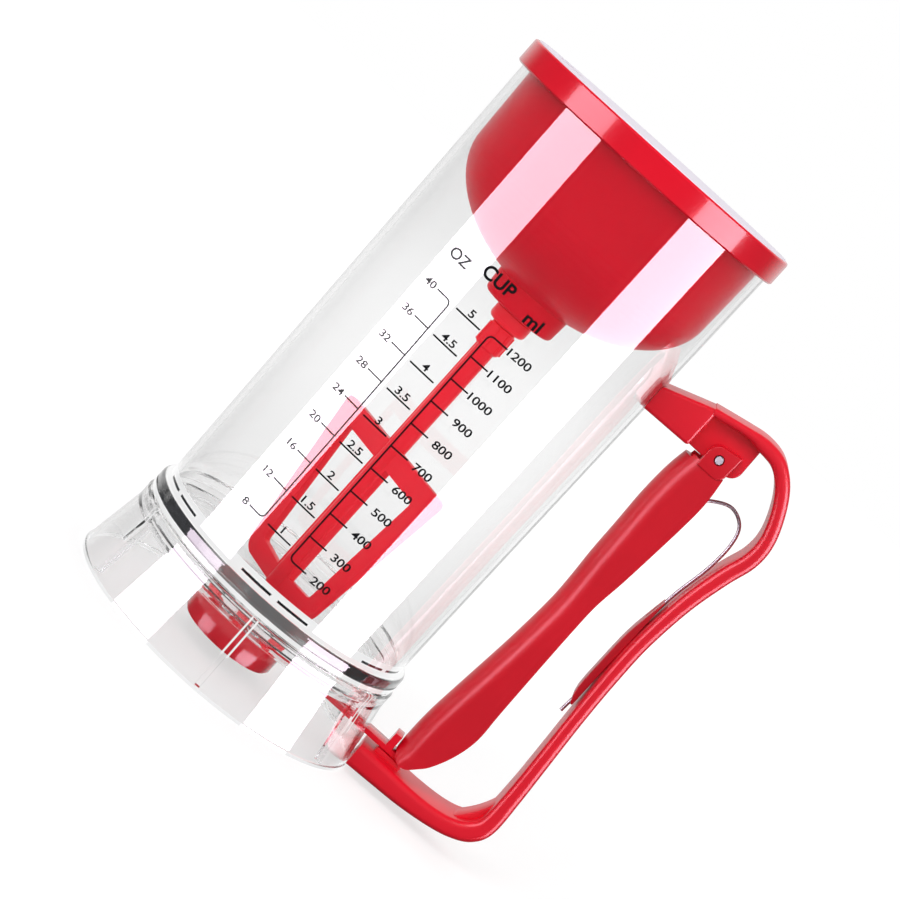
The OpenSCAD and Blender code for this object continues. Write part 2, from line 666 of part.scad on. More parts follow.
module lid_ring() {
    rim_r = ring_d / 2;
    lip_r = cover_r + fit;
    color("red") difference() {
        rotate_extrude($fn = fine) polygon(concat(
            [[jar_rim_d / 2 + 0.5, ring_bottom_z], [rim_r - 0.6, ring_bottom_z],
                [rim_r, ring_bottom_z + 0.6]],
            arc([rim_r - 1, cover_top_z - 1.5], 1, 0, 90, 5),
            [[lip_r, cover_top_z - 0.5], [lip_r, shelf_z + ring_shelf_t],
             [shelf_r, shelf_z + ring_shelf_t], [shelf_r, shelf_z],
             [flange_r + fit, shelf_z], [flange_r + fit, gasket_z - 1]]));
        translate([button_x, 0, shelf_z - 1]) cylinder(r = button_r + 0.35, h = 5, $fn = medium);
        for (a = [45:90:315]) rotate([0, 0, a]) translate([ring_screw_at, 0, shelf_z - 1]) {
            cylinder(r = ring_screw_r + fit, h = 4, $fn = medium);
            translate([0, 0, 1 + ring_shelf_t - 1.3])
                cylinder(r1 = ring_screw_r + fit, r2 = 2.7, h = 1.4, $fn = medium);
        }
    }
}

module lid_gasket() {
    color("whitesmoke") translate([0, 0, gasket_z])
        tube(jar_rim_d / 2 - 0.2, housing_r + 0.25, gasket_t);
}

module ring_screws() {
    color("silver") for (a = [45:90:315]) rotate([0, 0, a])
        translate([ring_screw_at, 0, shelf_z + ring_shelf_t]) {
        translate([0, 0, -ring_screw_len]) cylinder(r = ring_screw_r, h = ring_screw_len - 1, $fn = medium);
        translate([0, 0, -1.25]) cylinder(r1 = ring_screw_r, r2 = 2.5, h = 1.2, $fn = medium);
    }
}

module motor_housing() {
    w = housing_wall;
    base_r = boss_r + 0.5;
    bowl_from = acos(base_r / bowl_r);
    function bowl(a, g) = [(bowl_r - g) * cos(a), bowl_z - (bowl_depth - g) * sin(a)];
    color("crimson") difference() {
        union() {
            rotate_extrude($fn = fine) polygon(concat(
                [[0, bowl_bottom_z + w], [0, boss_z], [boss_r - 2, boss_z]],
                arc([boss_r - 2, boss_z + 2], 2, -90, 0, 4),
                [for (i = [0:16]) bowl(bowl_from * (1 - i / 16), 0)],
                [[housing_r, flange_z - 6], [housing_r, flange_z], [flange_r, flange_z],
                 [flange_r, flange_z + flange_t], [inner_r + 0.6, flange_z + flange_t]],
                [for (i = [0:16]) bowl(90 * i / 16, w)]));
            // posts for the ring's screws, and ribs under the battery deck
            for (a = [45:90:315]) rotate([0, 0, a]) translate([ring_screw_at, 0, bowl_z + 8])
                cylinder(r = post_r, h = flange_z + flange_t - bowl_z - 8, $fn = medium);
            for (a = [0:90:270]) rotate([0, 0, a]) translate([inner_r - 5, -1, bowl_z])
                cube([6, 2, deck_z - seat - bowl_z]);
            // socket of the motor
            translate([0, 0, bowl_bottom_z + w - 0.5])
                tube(motor_r + 0.2 + motor_wall, motor_r + 0.2, socket_top_z - bowl_bottom_z - w + 0.5);
        }
        // seats of the motor, the bush and the seal
        translate([0, 0, motor_z - seat]) cylinder(r = motor_r + 0.2, h = 30, $fn = fine);
        translate([0, 0, boss_z + 3.4]) cylinder(r = bush_r + 0.02, h = 20, $fn = medium);
        translate([0, 0, boss_z + 0.8]) cylinder(r = seal_r + 0.02, h = 2.6 + eps, $fn = medium);
        translate([0, 0, boss_z - 1]) cylinder(r = shaft_r + 0.8, h = 10, $fn = medium);
        for (a = [45:90:315]) rotate([0, 0, a])
            translate([ring_screw_at, 0, shelf_z + ring_shelf_t - ring_screw_len - 1])
            cylinder(r = ring_screw_r + run_gap, h = ring_screw_len + 3, $fn = medium);
    }
}

module shaft_bush() {
    color("darkgoldenrod") translate([0, 0, boss_z + 3.5]) tube(bush_r, shaft_r + run_gap, bush_len);
}

module shaft_seal() {
    color("dimgray") translate([0, 0, boss_z + 0.9]) tube(seal_r, shaft_r + run_gap, 2.4);
}

module gear_motor() {
    gear_len = 18;
    color("silver") difference() {
        union() {
            translate([0, 0, motor_z]) cylinder(r = motor_r, h = gear_len, $fn = fine);
            translate([0, 0, motor_z + gear_len]) cylinder(r = motor_r - 0.8, h = 1.2, $fn = fine);
            translate([0, 0, motor_z + gear_len + 1.2])
                cylinder(r = motor_r - 0.3, h = motor_len - gear_len - 3.2, $fn = fine);
            translate([0, 0, motor_z + motor_len - 2]) cylinder(r = motor_r * 0.4, h = 2, $fn = medium);
            for (y = [-1, 1]) translate([-1.4, y * motor_r * 0.7 - 0.3, motor_z + motor_len - 3])
                cube([2.8, 0.6, 5]);
        }
        translate([0, 0, motor_z - 1]) cylinder(r = shaft_r + run_gap, h = shaft_top_z - motor_z + 2,
            $fn = medium);
        // flats of the motor's can
        for (x = [-1, 1]) translate([x * (motor_r + 3), 0, motor_z + gear_len + motor_len / 2])
            cube([10, motor_d, motor_len], center = true);
    }
}

module drive_shaft() {
    color("silver") difference() {
        translate([0, 0, shaft_bottom_z])
            cylinder(r = shaft_r, h = shaft_top_z - shaft_bottom_z, $fn = medium);
        translate([shaft_r - 0.7, -shaft_r, shaft_bottom_z - 1])
            cube([2, shaft_d, coupling_z - shaft_bottom_z]);
    }
}

module drive_coupling() {
    r = boss_r * 0.52;
    color("red") difference() {
        translate([0, 0, coupling_z]) rotate_extrude($fn = fine) polygon(concat(
            [[0, 0], [r - 2, 0]], arc([r - 2, 2], 2, -90, 0, 5),
                [[r, coupling_h - 0.5], [r - 0.5, coupling_h], [0, coupling_h]]));
        translate([0, 0, coupling_z - 1]) cylinder(r = shaft_r + 0.02, h = 10, $fn = medium);
    }
}

// Half of the stirring frame's outline: outer edge from the foot to the top
function frame_r(z) = frame_foot_r + (frame_top_r - frame_foot_r) * (z - frame_foot_z)
    / (frame_top_z - frame_foot_z);

module frame_half() {
    corner = 7;
    win_foot_z = frame_foot_z + 7;
    win_top_z = frame_top_z - bar_top;
    difference() {
        polygon(concat([[0, frame_foot_z], [frame_foot_r - corner, frame_foot_z + 0.4]],
            arc([frame_foot_r - corner + 0.3, frame_foot_z + corner + 0.4], corner, -80, -8, 6),
            [[frame_top_r - 0.3, frame_top_z - 2.5], [frame_top_r - 1.2, frame_top_z - 0.6],
                [frame_top_r - 3, frame_top_z],
             [0, frame_top_z]]));
        polygon(concat([[rod_r + 1, win_foot_z]],
            arc([frame_r(win_foot_z) - bar_side + 0.2, win_foot_z + 3], 1.8, -80, -5, 4),
            arc([frame_r(win_top_z) - bar_side - 2, win_top_z - 1.5], 1.5, 0, 90, 3),
                [[rod_r + 1, win_top_z]]));
    }
}

module stirrer() {
    head_top_z = coupling_z - 0.2;
    head_z = head_top_z - head_h;
    color("red") rotate([0, 0, frame_turn]) difference() {
        union() {
            upright(frame_t) {
                frame_half();
                mirror([1, 0]) frame_half();
            }
            translate([0, 0, frame_foot_z]) cylinder(r = rod_r, h = head_z - frame_foot_z + 1, $fn = medium);
            // fin along the rod
            translate([-rod_r - 1.3, -1, frame_foot_z + 3]) cube([rod_r, 2, head_z - frame_foot_z - 3]);
            translate([0, 0, head_z]) rotate_extrude($fn = medium) polygon([
                [0, 0], [head_r - 0.8, 0], [head_r, 0.8], [head_r, head_h - 0.4], [head_r - 0.4, head_h],
                    [0, head_h]]);
            for (a = [0:60:300]) rotate([0, 0, a]) translate([head_r - 0.6, -0.7, head_z + 1])
                cube([1.2, 1.4, head_h - 2]);
        }
        difference() {
            translate([0, 0, shaft_bottom_z - 0.3]) cylinder(r = shaft_r + run_gap, h = 20, $fn = medium);
            rotate([0, 0, -frame_turn]) translate([shaft_r - 0.6, -shaft_r, shaft_bottom_z - 1])
                cube([3, shaft_d, coupling_z - shaft_bottom_z - 0.4]);
        }
    }
}

module cell_places() {
    for (a = [45:90:315]) rotate([0, 0, a]) translate([cell_ring_r, 0, 0]) children();
}

module battery_tray() {
    color("gray") difference() {
        union() {
            translate([0, 0, deck_z]) cylinder(r = deck_r, h = deck_t, $fn = fine);
            cell_places() translate([0, 0, tray_z])
                cylinder(r = tube_r, h = deck_z + deck_t - tray_z, $fn = medium);
        }
        cell_places() translate([0, 0, tray_z + 1.2])
            cylinder(r = cell_r + 0.25, h = cell_len + 20, $fn = medium);
        // openings for the motor, the screw posts and the wires to the button
        translate([0, 0, deck_z - 1]) cylinder(r = motor_r + 0.3, h = deck_t + 2, $fn = fine);
        for (a = [45:90:315]) rotate([0, 0, a]) translate([ring_screw_at, 0, deck_z - 30])
            cylinder(r = post_r + 0.4, h = 45, $fn = medium);
        translate([0, 0, tray_z - 1]) cylinder(r = motor_r + 0.8 + motor_wall,
            h = socket_top_z + 1 - tray_z, $fn = fine);
    }
}

module batteries() {
    color("darkslategray") cell_places() translate([0, 0, cell_z]) {
        cylinder(r = cell_r, h = cell_len, $fn = medium);
        translate([0, 0, cell_len - eps]) cylinder(r = cell_r * 0.38, h = 1 + eps, $fn = medium);
    }
}

// Coil spring standing on z = 0, n turns, outer radius r, wire radius w
module coil(r, w, h, n) {
    steps = 14;
    wire([for (i = [0:n * steps]) let (a = 360 * i / steps)
        [(r - w) * cos(a), (r - w) * sin(a), w + (h - 2 * w) * i / (n * steps)]], w, 6, [0, 0, 1]);
}

module contact_springs() {
    color("goldenrod") cell_places() translate([0, 0, tray_z + 1.2 + contact_gap])
        coil(cell_r * 0.7, 0.35, cell_z - tray_z - 1.2 - 2 * contact_gap, 2);
}

module top_cover() {
    color("white") difference() {
        union() {
            translate([0, 0, cover_z]) rotate_extrude($fn = fine) polygon([
                [0, 0], [cover_r - 1, 0], [cover_r, 0.3], [cover_r, cover_t - 0.5],
                    [cover_r - 0.6, cover_t], [0, cover_t]]);
            translate([0, 0, shelf_z + 0.3]) tube(shelf_r - fit, shelf_r - fit - 1.4, cover_z - shelf_z);
            // pads that carry the contact strips
            cell_places() translate([0, 0, cell_top_z + 0.7])
                cylinder(r = 3.2, h = cover_z - cell_top_z, $fn = medium);
        }
        translate([button_x, 0, shelf_z])
            cylinder(r = button_r + 0.35, h = cover_top_z - shelf_z + 1, $fn = medium);
    }
}

module cover_contacts() {
    color("goldenrod") for (a = [0, 180]) rotate([0, 0, a])
        translate([-cell_ring_r * sqrt(0.5) - 4, cell_ring_r * sqrt(0.5) - 4, cell_top_z + contact_gap])
            cube([cell_ring_r * sqrt(2) + 8, 8, 0.5]);
}

module power_button() {
    color("darkred") translate([button_x, 0, 0]) {
        translate([0, 0, button_flange_z]) cylinder(r = button_flange_r, h = 1.2, $fn = medium);
        translate([0, 0, button_flange_z + 1]) rotate_extrude($fn = medium) polygon([
            [0, 0], [button_r, 0], [button_r, button_top_z - button_flange_z - 1.7],
            [button_r - 0.7, button_top_z - button_flange_z - 1], [0, button_top_z - button_flange_z - 1.3]]);
        translate([0, 0, button_flange_z - button_travel - 2])
            cylinder(r = switch_stem_r, h = button_travel + 2.5, $fn = medium);
    }
}

module button_spring() {
    color("silver") translate([button_x, 0, switch_top_z + seat])
        coil(switch_stem_r + 1.6, 0.2, button_flange_z - switch_top_z - 2 * seat, 2);
}

module switch() {
    size = 8;
    color("darkslategray") difference() {
        translate([button_x - size / 2, -size / 2, deck_z + deck_t + seat])
            cube([size, size, switch_top_z - deck_z - deck_t - seat]);
        translate([button_x, 0, button_flange_z - 2 * button_travel - 2.5])
            cylinder(r = switch_stem_r + 0.2, h = 10, $fn = medium);
    }
}

jar();
jar_floor();
outlet_seat();
base_skirt();
valve_seal();
valve_body();
valve_screws();
valve_slider();
handle_frame();
handle_screws();
lever();
pivot_pin();
return_spring();
spring_clip();
lid_ring();
lid_gasket();
ring_screws();
motor_housing();
gear_motor();
shaft_bush();
shaft_seal();
drive_shaft();
drive_coupling();
stirrer();
battery_tray();
batteries();
contact_springs();
top_cover();
cover_contacts();
power_button();
button_spring();
switch();
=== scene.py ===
import json
import math

import bmesh
import bpy
from mathutils import Matrix, Vector

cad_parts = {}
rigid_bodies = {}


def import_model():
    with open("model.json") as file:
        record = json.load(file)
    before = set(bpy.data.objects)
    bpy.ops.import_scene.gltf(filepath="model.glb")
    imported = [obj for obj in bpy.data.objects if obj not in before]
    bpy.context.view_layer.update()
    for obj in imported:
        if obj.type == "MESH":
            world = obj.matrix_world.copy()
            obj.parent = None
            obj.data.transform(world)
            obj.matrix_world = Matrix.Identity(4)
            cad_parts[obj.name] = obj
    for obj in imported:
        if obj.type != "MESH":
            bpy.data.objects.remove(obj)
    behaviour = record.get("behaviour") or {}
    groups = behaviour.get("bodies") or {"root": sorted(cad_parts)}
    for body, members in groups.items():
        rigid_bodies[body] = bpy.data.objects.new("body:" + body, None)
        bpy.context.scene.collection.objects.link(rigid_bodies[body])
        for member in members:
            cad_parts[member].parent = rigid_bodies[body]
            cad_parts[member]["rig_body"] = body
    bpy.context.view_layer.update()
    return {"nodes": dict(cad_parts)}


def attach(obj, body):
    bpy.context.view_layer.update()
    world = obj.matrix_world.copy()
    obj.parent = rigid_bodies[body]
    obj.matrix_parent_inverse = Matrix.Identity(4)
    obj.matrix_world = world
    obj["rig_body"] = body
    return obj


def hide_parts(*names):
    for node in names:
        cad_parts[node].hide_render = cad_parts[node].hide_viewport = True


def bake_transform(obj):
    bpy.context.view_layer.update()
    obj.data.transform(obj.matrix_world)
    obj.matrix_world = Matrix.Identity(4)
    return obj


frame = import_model()
nodes = frame["nodes"]
scene = bpy.context.scene
mm = 0.001
print("frame loaded:", len(nodes), "nodes")


# objects and shader nodes

def newObject(name, data):
    thing = bpy.data.objects.new(name, data)
    scene.collection.objects.link(thing)
    return thing


def bakeMesh(bm, name):     # the bmesh as a mesh
    mesh = bpy.data.meshes.new(name)
    bm.to_mesh(mesh)
    bm.free()
    return mesh


def feed(tree, socket, value):      # a number is set, anything else is linked
    if isinstance(value, (int, float)):
        socket.default_value = value
    else:
        tree.links.new(value, socket)


def maths(tree, operation, a, b=None, c=None, clamp=False):
    node = tree.nodes.new("ShaderNodeMath")
    node.operation = operation
    node.use_clamp = clamp
    for socket, value in zip(node.inputs, (a, b, c)):
        if value is not None:
            feed(tree, socket, value)
    return node.outputs[0]


def remap(tree, value, low, high, toLow, toHigh, smooth=False):
    node = tree.nodes.new("ShaderNodeMapRange")
    node.interpolation_type = "SMOOTHSTEP" if smooth else "LINEAR"
    labels = ("Value", "From Min", "From Max", "To Min", "To Max")
    for label, v in zip(labels, (value, low, high, toLow, toHigh)):
        feed(tree, node.inputs[label], v)
    return node.outputs["Result"]


def between(tree, value, low, high, soft=0.0003):       # 1 from low to high, 0 outside, with soft borders
    above = remap(tree, value, low, maths(tree, "ADD", low, soft), 0.0, 1.0)
    below = remap(tree, value, maths(tree, "SUBTRACT", high, soft), high, 1.0, 0.0)
    return maths(tree, "MULTIPLY", above, below)


def noise(tree, vector, scale, detail, rough=0.5):
    node = tree.nodes.new("ShaderNodeTexNoise")
    node.inputs["Detail"].default_value = detail
    node.inputs["Roughness"].default_value = rough
    tree.links.new(vector, node.inputs["Vector"])
    feed(tree, node.inputs["Scale"], scale)
    return node.outputs["Fac"]


def splitAxes(tree, vector):
    node = tree.nodes.new("ShaderNodeSeparateXYZ")
    tree.links.new(vector, node.inputs[0])
    return [node.outputs[axis] for axis in "XYZ"]


def vectorLength(tree, vector):
    node = tree.nodes.new("ShaderNodeVectorMath")
    node.operation = "LENGTH"
    tree.links.new(vector, node.inputs[0])
    return node.outputs["Value"]


def tintBy(tree, colour, factor):       # colour times a number
    node = tree.nodes.new("ShaderNodeVectorMath")
    node.operation = "SCALE"
    tree.links.new(colour, node.inputs[0])
    tree.links.new(factor, node.inputs["Scale"])
    return node.outputs[0]


def blendColours(tree, factor, a, b):
    node = tree.nodes.new("ShaderNodeMix")
    node.data_type = "RGBA"
    for place, value in ((0, factor), (6, a), (7, b)):      # by number, because other sockets share their names
        tree.links.new(value, node.inputs[place])
    return node.outputs[2]


# camera, world and lamps

cameraSet = {
    "place": (0.015, -1.027, 0.266),
    "pitch": -8.4,      # degrees, below the horizon
    "lean": 42.0,       # roll, so that the object leans to the right
    "lens": 113.2, "sensor": 36, "clip": (0.05, 50),
}

studioSet = {
    "ambient": 0.62,    # what the white room adds to matt surfaces
    "mirrored": (0.10, 0.80),   # how bright the room and its far wall are in a gloss
    "farWall": (0.55, 0.9),     # where the far wall begins and is full, as the y of a direction
    "behindClear": 1.45,        # what it adds to matt surfaces behind clear walls
    "floorSize": 6.0, "floorGrey": 0.34,
    "floorGlow": (0.70, 0.82),      # near the object and far away
    "floorFade": (0.12, 0.8),       # from and to, in metres from the middle
    "lampTarget": (0.02, 0, 0.12),
    "lamps": [          # name, place, size, watts
        ("keyLamp", (-0.75, -1.25, 1.25), 0.9, 14.0),
        ("fillLamp", (1.15, -0.9, 0.75), 0.8, 6.0),
        ("backLamp", (0.2, 1.3, 1.1), 0.9, 6.0),
    ],
    "softboxes": [      # name, azimuth from the camera's side, width, height, middle's height, watts
        ("leftSoftbox", -54.0, 0.80, 1.5, 0.12, 30.0),
        ("rightSoftbox", 65.0, 0.86, 1.5, 0.12, 42.0),
    ],
    "softboxColour": (1.0, 0.85, 1.0),
    "softboxRange": 1.2,
    "bounces": 24,      # a view through the foot crosses many clear walls
}


def addCamera():
    s = cameraSet
    camera = newObject("camera", bpy.data.cameras.new("camera"))
    camera.data.sensor_width = s["sensor"]
    camera.data.lens = s["lens"]
    camera.data.clip_start, camera.data.clip_end = s["clip"]
    tilt = Matrix.Rotation(math.radians(90 + s["pitch"]), 4, "X")
    roll = Matrix.Rotation(math.radians(s["lean"]), 4, "Z")
    camera.matrix_world = Matrix.Translation(s["place"]) @ tilt @ roll
    scene.camera = camera


def rayLevel(tree, matt, mirrored, direct):     # for diffuse, glossy, and camera and transmission rays
    paths = tree.nodes.new("ShaderNodeLightPath")
    value = matt
    for label, level in (("Is Glossy Ray", mirrored), ("Is Camera Ray", direct), ("Is Transmission Ray", direct)):
        mix = tree.nodes.new("ShaderNodeMix")
        tree.links.new(paths.outputs[label], mix.inputs["Factor"])
        feed(tree, mix.inputs[2], value)
        feed(tree, mix.inputs[3], level)
        value = mix.outputs[0]
    return value


def addWorld():
    s = studioSet
    world = bpy.data.worlds.new("whiteRoom")
    scene.world = world
    world.use_nodes = True
    tree = world.node_tree
    background = tree.nodes["Background"]
    background.inputs["Color"].default_value = (1, 1, 1, 1)
    towards = tree.nodes.new("ShaderNodeTexCoord").outputs["Generated"]
    wall = remap(tree, splitAxes(tree, towards)[1], *s["farWall"], *s["mirrored"], smooth=True)
    bounces = tree.nodes.new("ShaderNodeLightPath").outputs["Diffuse Depth"]
    beyond = remap(tree, bounces, 0.0, 1.0, 1.0, s["behindClear"])
    tree.links.new(rayLevel(tree, s["ambient"], wall, beyond), background.inputs["Strength"])


def addLamp(name, place, sizeX, sizeY, watts):
    lamp = newObject(name, bpy.data.lights.new(name, "AREA"))
    lamp.data.shape = "RECTANGLE"
    lamp.data.size, lamp.data.size_y = sizeX, sizeY
    lamp.data.energy = watts
    back = Vector(place) - Vector(studioSet["lampTarget"])
    lamp.matrix_world = Matrix.Translation(place) @ back.to_track_quat("Z", "Y").to_matrix().to_4x4()
    lamp.visible_camera = False
    lamp.visible_transmission = False
    return lamp


def addLights():
    for name, place, size, watts in studioSet["lamps"]:
        addLamp(name, place, size, size, watts).visible_glossy = False
    for name, azimuth, width, height, middle, watts in studioSet["softboxes"]:
        a, reach = math.radians(azimuth), studioSet["softboxRange"]
        place = (reach * math.sin(a), -reach * math.cos(a), middle)
        lamp = addLamp(name, place, width, height, watts)
        lamp.data.color = studioSet["softboxColour"]
        lamp.visible_diffuse = False    # only seen as a reflection


def addFloor():
    s = studioSet
    bm = bmesh.new()
    bmesh.ops.create_circle(bm, cap_ends=True, radius=s["floorSize"] / 2, segments=96)
    floor = newObject("floor", bakeMesh(bm, "floor"))
    material = bpy.data.materials.new("paleFloor")
    material.use_nodes = True
    tree = material.node_tree
    shader = tree.nodes["Principled BSDF"]
    shader.inputs["Base Color"].default_value = (s["floorGrey"], s["floorGrey"], s["floorGrey"], 1)
    shader.inputs["Roughness"].default_value = 0.9
    shader.inputs["Specular IOR Level"].default_value = 0
    shader.inputs["Emission Color"].default_value = (1, 1, 1, 1)
    away = vectorLength(tree, tree.nodes.new("ShaderNodeTexCoord").outputs["Object"])
    glow = remap(tree, away, *s["floorFade"], *s["floorGlow"], smooth=True)
    tree.links.new(rayLevel(tree, 0.0, 0.0, glow), shader.inputs["Emission Strength"])
    floor.data.materials.append(material)
    floor.visible_glossy = False


addCamera()
addWorld()
addLights()
addFloor()
scene.view_settings.view_transform = "Standard"
scene.cycles.max_bounces = scene.cycles.transmission_bounces = studioSet["bounces"]
print("camera and studio ready")


# materials

mouldedSet = {      # scales are per metre
    "cloud": 28.0, "cloudRange": (0.3, 0.7), "smudge": 75.0, "waves": 140.0, "waveHeight": 1.6,
    "rubs": {"Scale": 55.0, "Distortion": 14.0, "Detail": 3.0}, "rubFrom": 0.98, "rubRough": 0.012,
}

drawnSet = {
    "stretch": (160, 160, 4200), "lineRough": 0.22, "stain": 190.0, "stainTint": (0.3, 0.7, 0.86, 1.06),
}

# painted light and shade of the clear walls: a dark ring, dark dashes and glowing pale bands and ribs stand in for
# the look of thick clear plastic
clearWallSet = {    # each row of four maps a range of lengths or noise to a range of strengths
    "fade": (0.0, 0.03, 1.0, 0.1),      # the painted marks are strongest on the printed side, fading along y
    "streakScale": 38.0, "streak": (0.35, 0.55, 0.9, 1.0),
    # painted shade: the thin dark dashes
    "line": (0.0004, 0.0007, 1.0, 0.0),
    "ribCount": 6, "ribFoot": 0.0155,
    "turnStart": 10.5,      # keeps the turn above 0, and puts a rib in the middle of its share
    "dash": (0.02, 0.27, 0.01),     # from, to and soft border, in shares of a rib's turn
    "rib": (0.0125, 0.026, 0.002),
    # painted glow: the pale bands and rib stripes; paleShade is how bright they glow
    "paleSoft": 0.0002, "paleShade": 0.9,
    "ringShade": (0.02, 0.036, 0.13, 0.02),     # painted grey glow in the dark ring, greyest in the middle
    "smudgeScale": 60.0, "smudge": (0.45, 0.8), "smudgeRough": 0.05, "flow": 22.0,
}


def newGroup(name, inputs, outputs):    # an input's kind follows from its default
    group = bpy.data.node_groups.new(name, "ShaderNodeTree")
    for label, value in inputs.items():
        kind = "Vector" if value is None else "Color" if isinstance(value, tuple) else "Float"
        socket = group.interface.new_socket(name=label, in_out="INPUT", socket_type="NodeSocket" + kind)
        if value is not None:
            socket.default_value = value
    for label, kind in outputs.items():
        group.interface.new_socket(name=label, in_out="OUTPUT", socket_type="NodeSocket" + kind)
    return group, group.nodes.new("NodeGroupInput").outputs, group.nodes.new("NodeGroupOutput").inputs


def buildMouldedSkin():     # moulded plastic: faint clouds, orange peel, smudges and a few hairline rubs
    tree, source, sink = newGroup(
        "mouldedSkin",
        {"Vector": None, "Colour": (0.8, 0.8, 0.8, 1), "Cloud": 0.05, "Rough": 0.2, "Smudge": 0.06, "Grain": 900.0},
        {"Colour": "Color", "Roughness": "Float", "Height": "Float"})
    s, vector = mouldedSet, source["Vector"]
    low = maths(tree, "SUBTRACT", 1.0, source["Cloud"])
    high = maths(tree, "ADD", 1.0, source["Cloud"])
    cloud = remap(tree, noise(tree, vector, s["cloud"], 3.0), *s["cloudRange"], low, high)
    tree.links.new(tintBy(tree, source["Colour"], cloud), sink["Colour"])
    smudge = maths(tree, "SUBTRACT", noise(tree, vector, s["smudge"], 5.0, 0.6), 0.5)
    rubs = tree.nodes.new("ShaderNodeTexWave")
    for label, value in s["rubs"].items():
        rubs.inputs[label].default_value = value
    tree.links.new(vector, rubs.inputs["Vector"])
    hair = remap(tree, rubs.outputs["Fac"], s["rubFrom"], 1.0, 0.0, s["rubRough"])
    rough = maths(tree, "MULTIPLY_ADD", smudge, source["Smudge"], source["Rough"])
    tree.links.new(maths(tree, "ADD", rough, hair, clamp=True), sink["Roughness"])
    peel = noise(tree, vector, source["Grain"], 2.0)
    waves = noise(tree, vector, s["waves"], 2.0)
    tree.links.new(maths(tree, "MULTIPLY_ADD", waves, s["waveHeight"], peel), sink["Height"])
    return tree


def buildDrawnMetal():      # metal with fine lines along one axis
    tree, source, sink = newGroup(
        "drawnMetal", {"Vector": None, "Colour": (0.7, 0.7, 0.7, 1), "Rough": 0.25, "Lines": 1.0},
        {"Colour": "Color", "Roughness": "Float", "Height": "Float"})
    s = drawnSet
    stretch = tree.nodes.new("ShaderNodeMapping")
    stretch.inputs["Scale"].default_value = s["stretch"]
    tree.links.new(source["Vector"], stretch.inputs["Vector"])
    lines = noise(tree, stretch.outputs["Vector"], 1.0, 3.0, 0.65)
    stain = remap(tree, noise(tree, source["Vector"], s["stain"], 4.0), *s["stainTint"])
    tree.links.new(tintBy(tree, source["Colour"], stain), sink["Colour"])
    uneven = maths(tree, "SUBTRACT", lines, 0.5)
    rough = maths(tree, "MULTIPLY_ADD", uneven, s["lineRough"], source["Rough"], clamp=True)
    tree.links.new(rough, sink["Roughness"])
    tree.links.new(maths(tree, "MULTIPLY", lines, source["Lines"]), sink["Height"])
    return tree


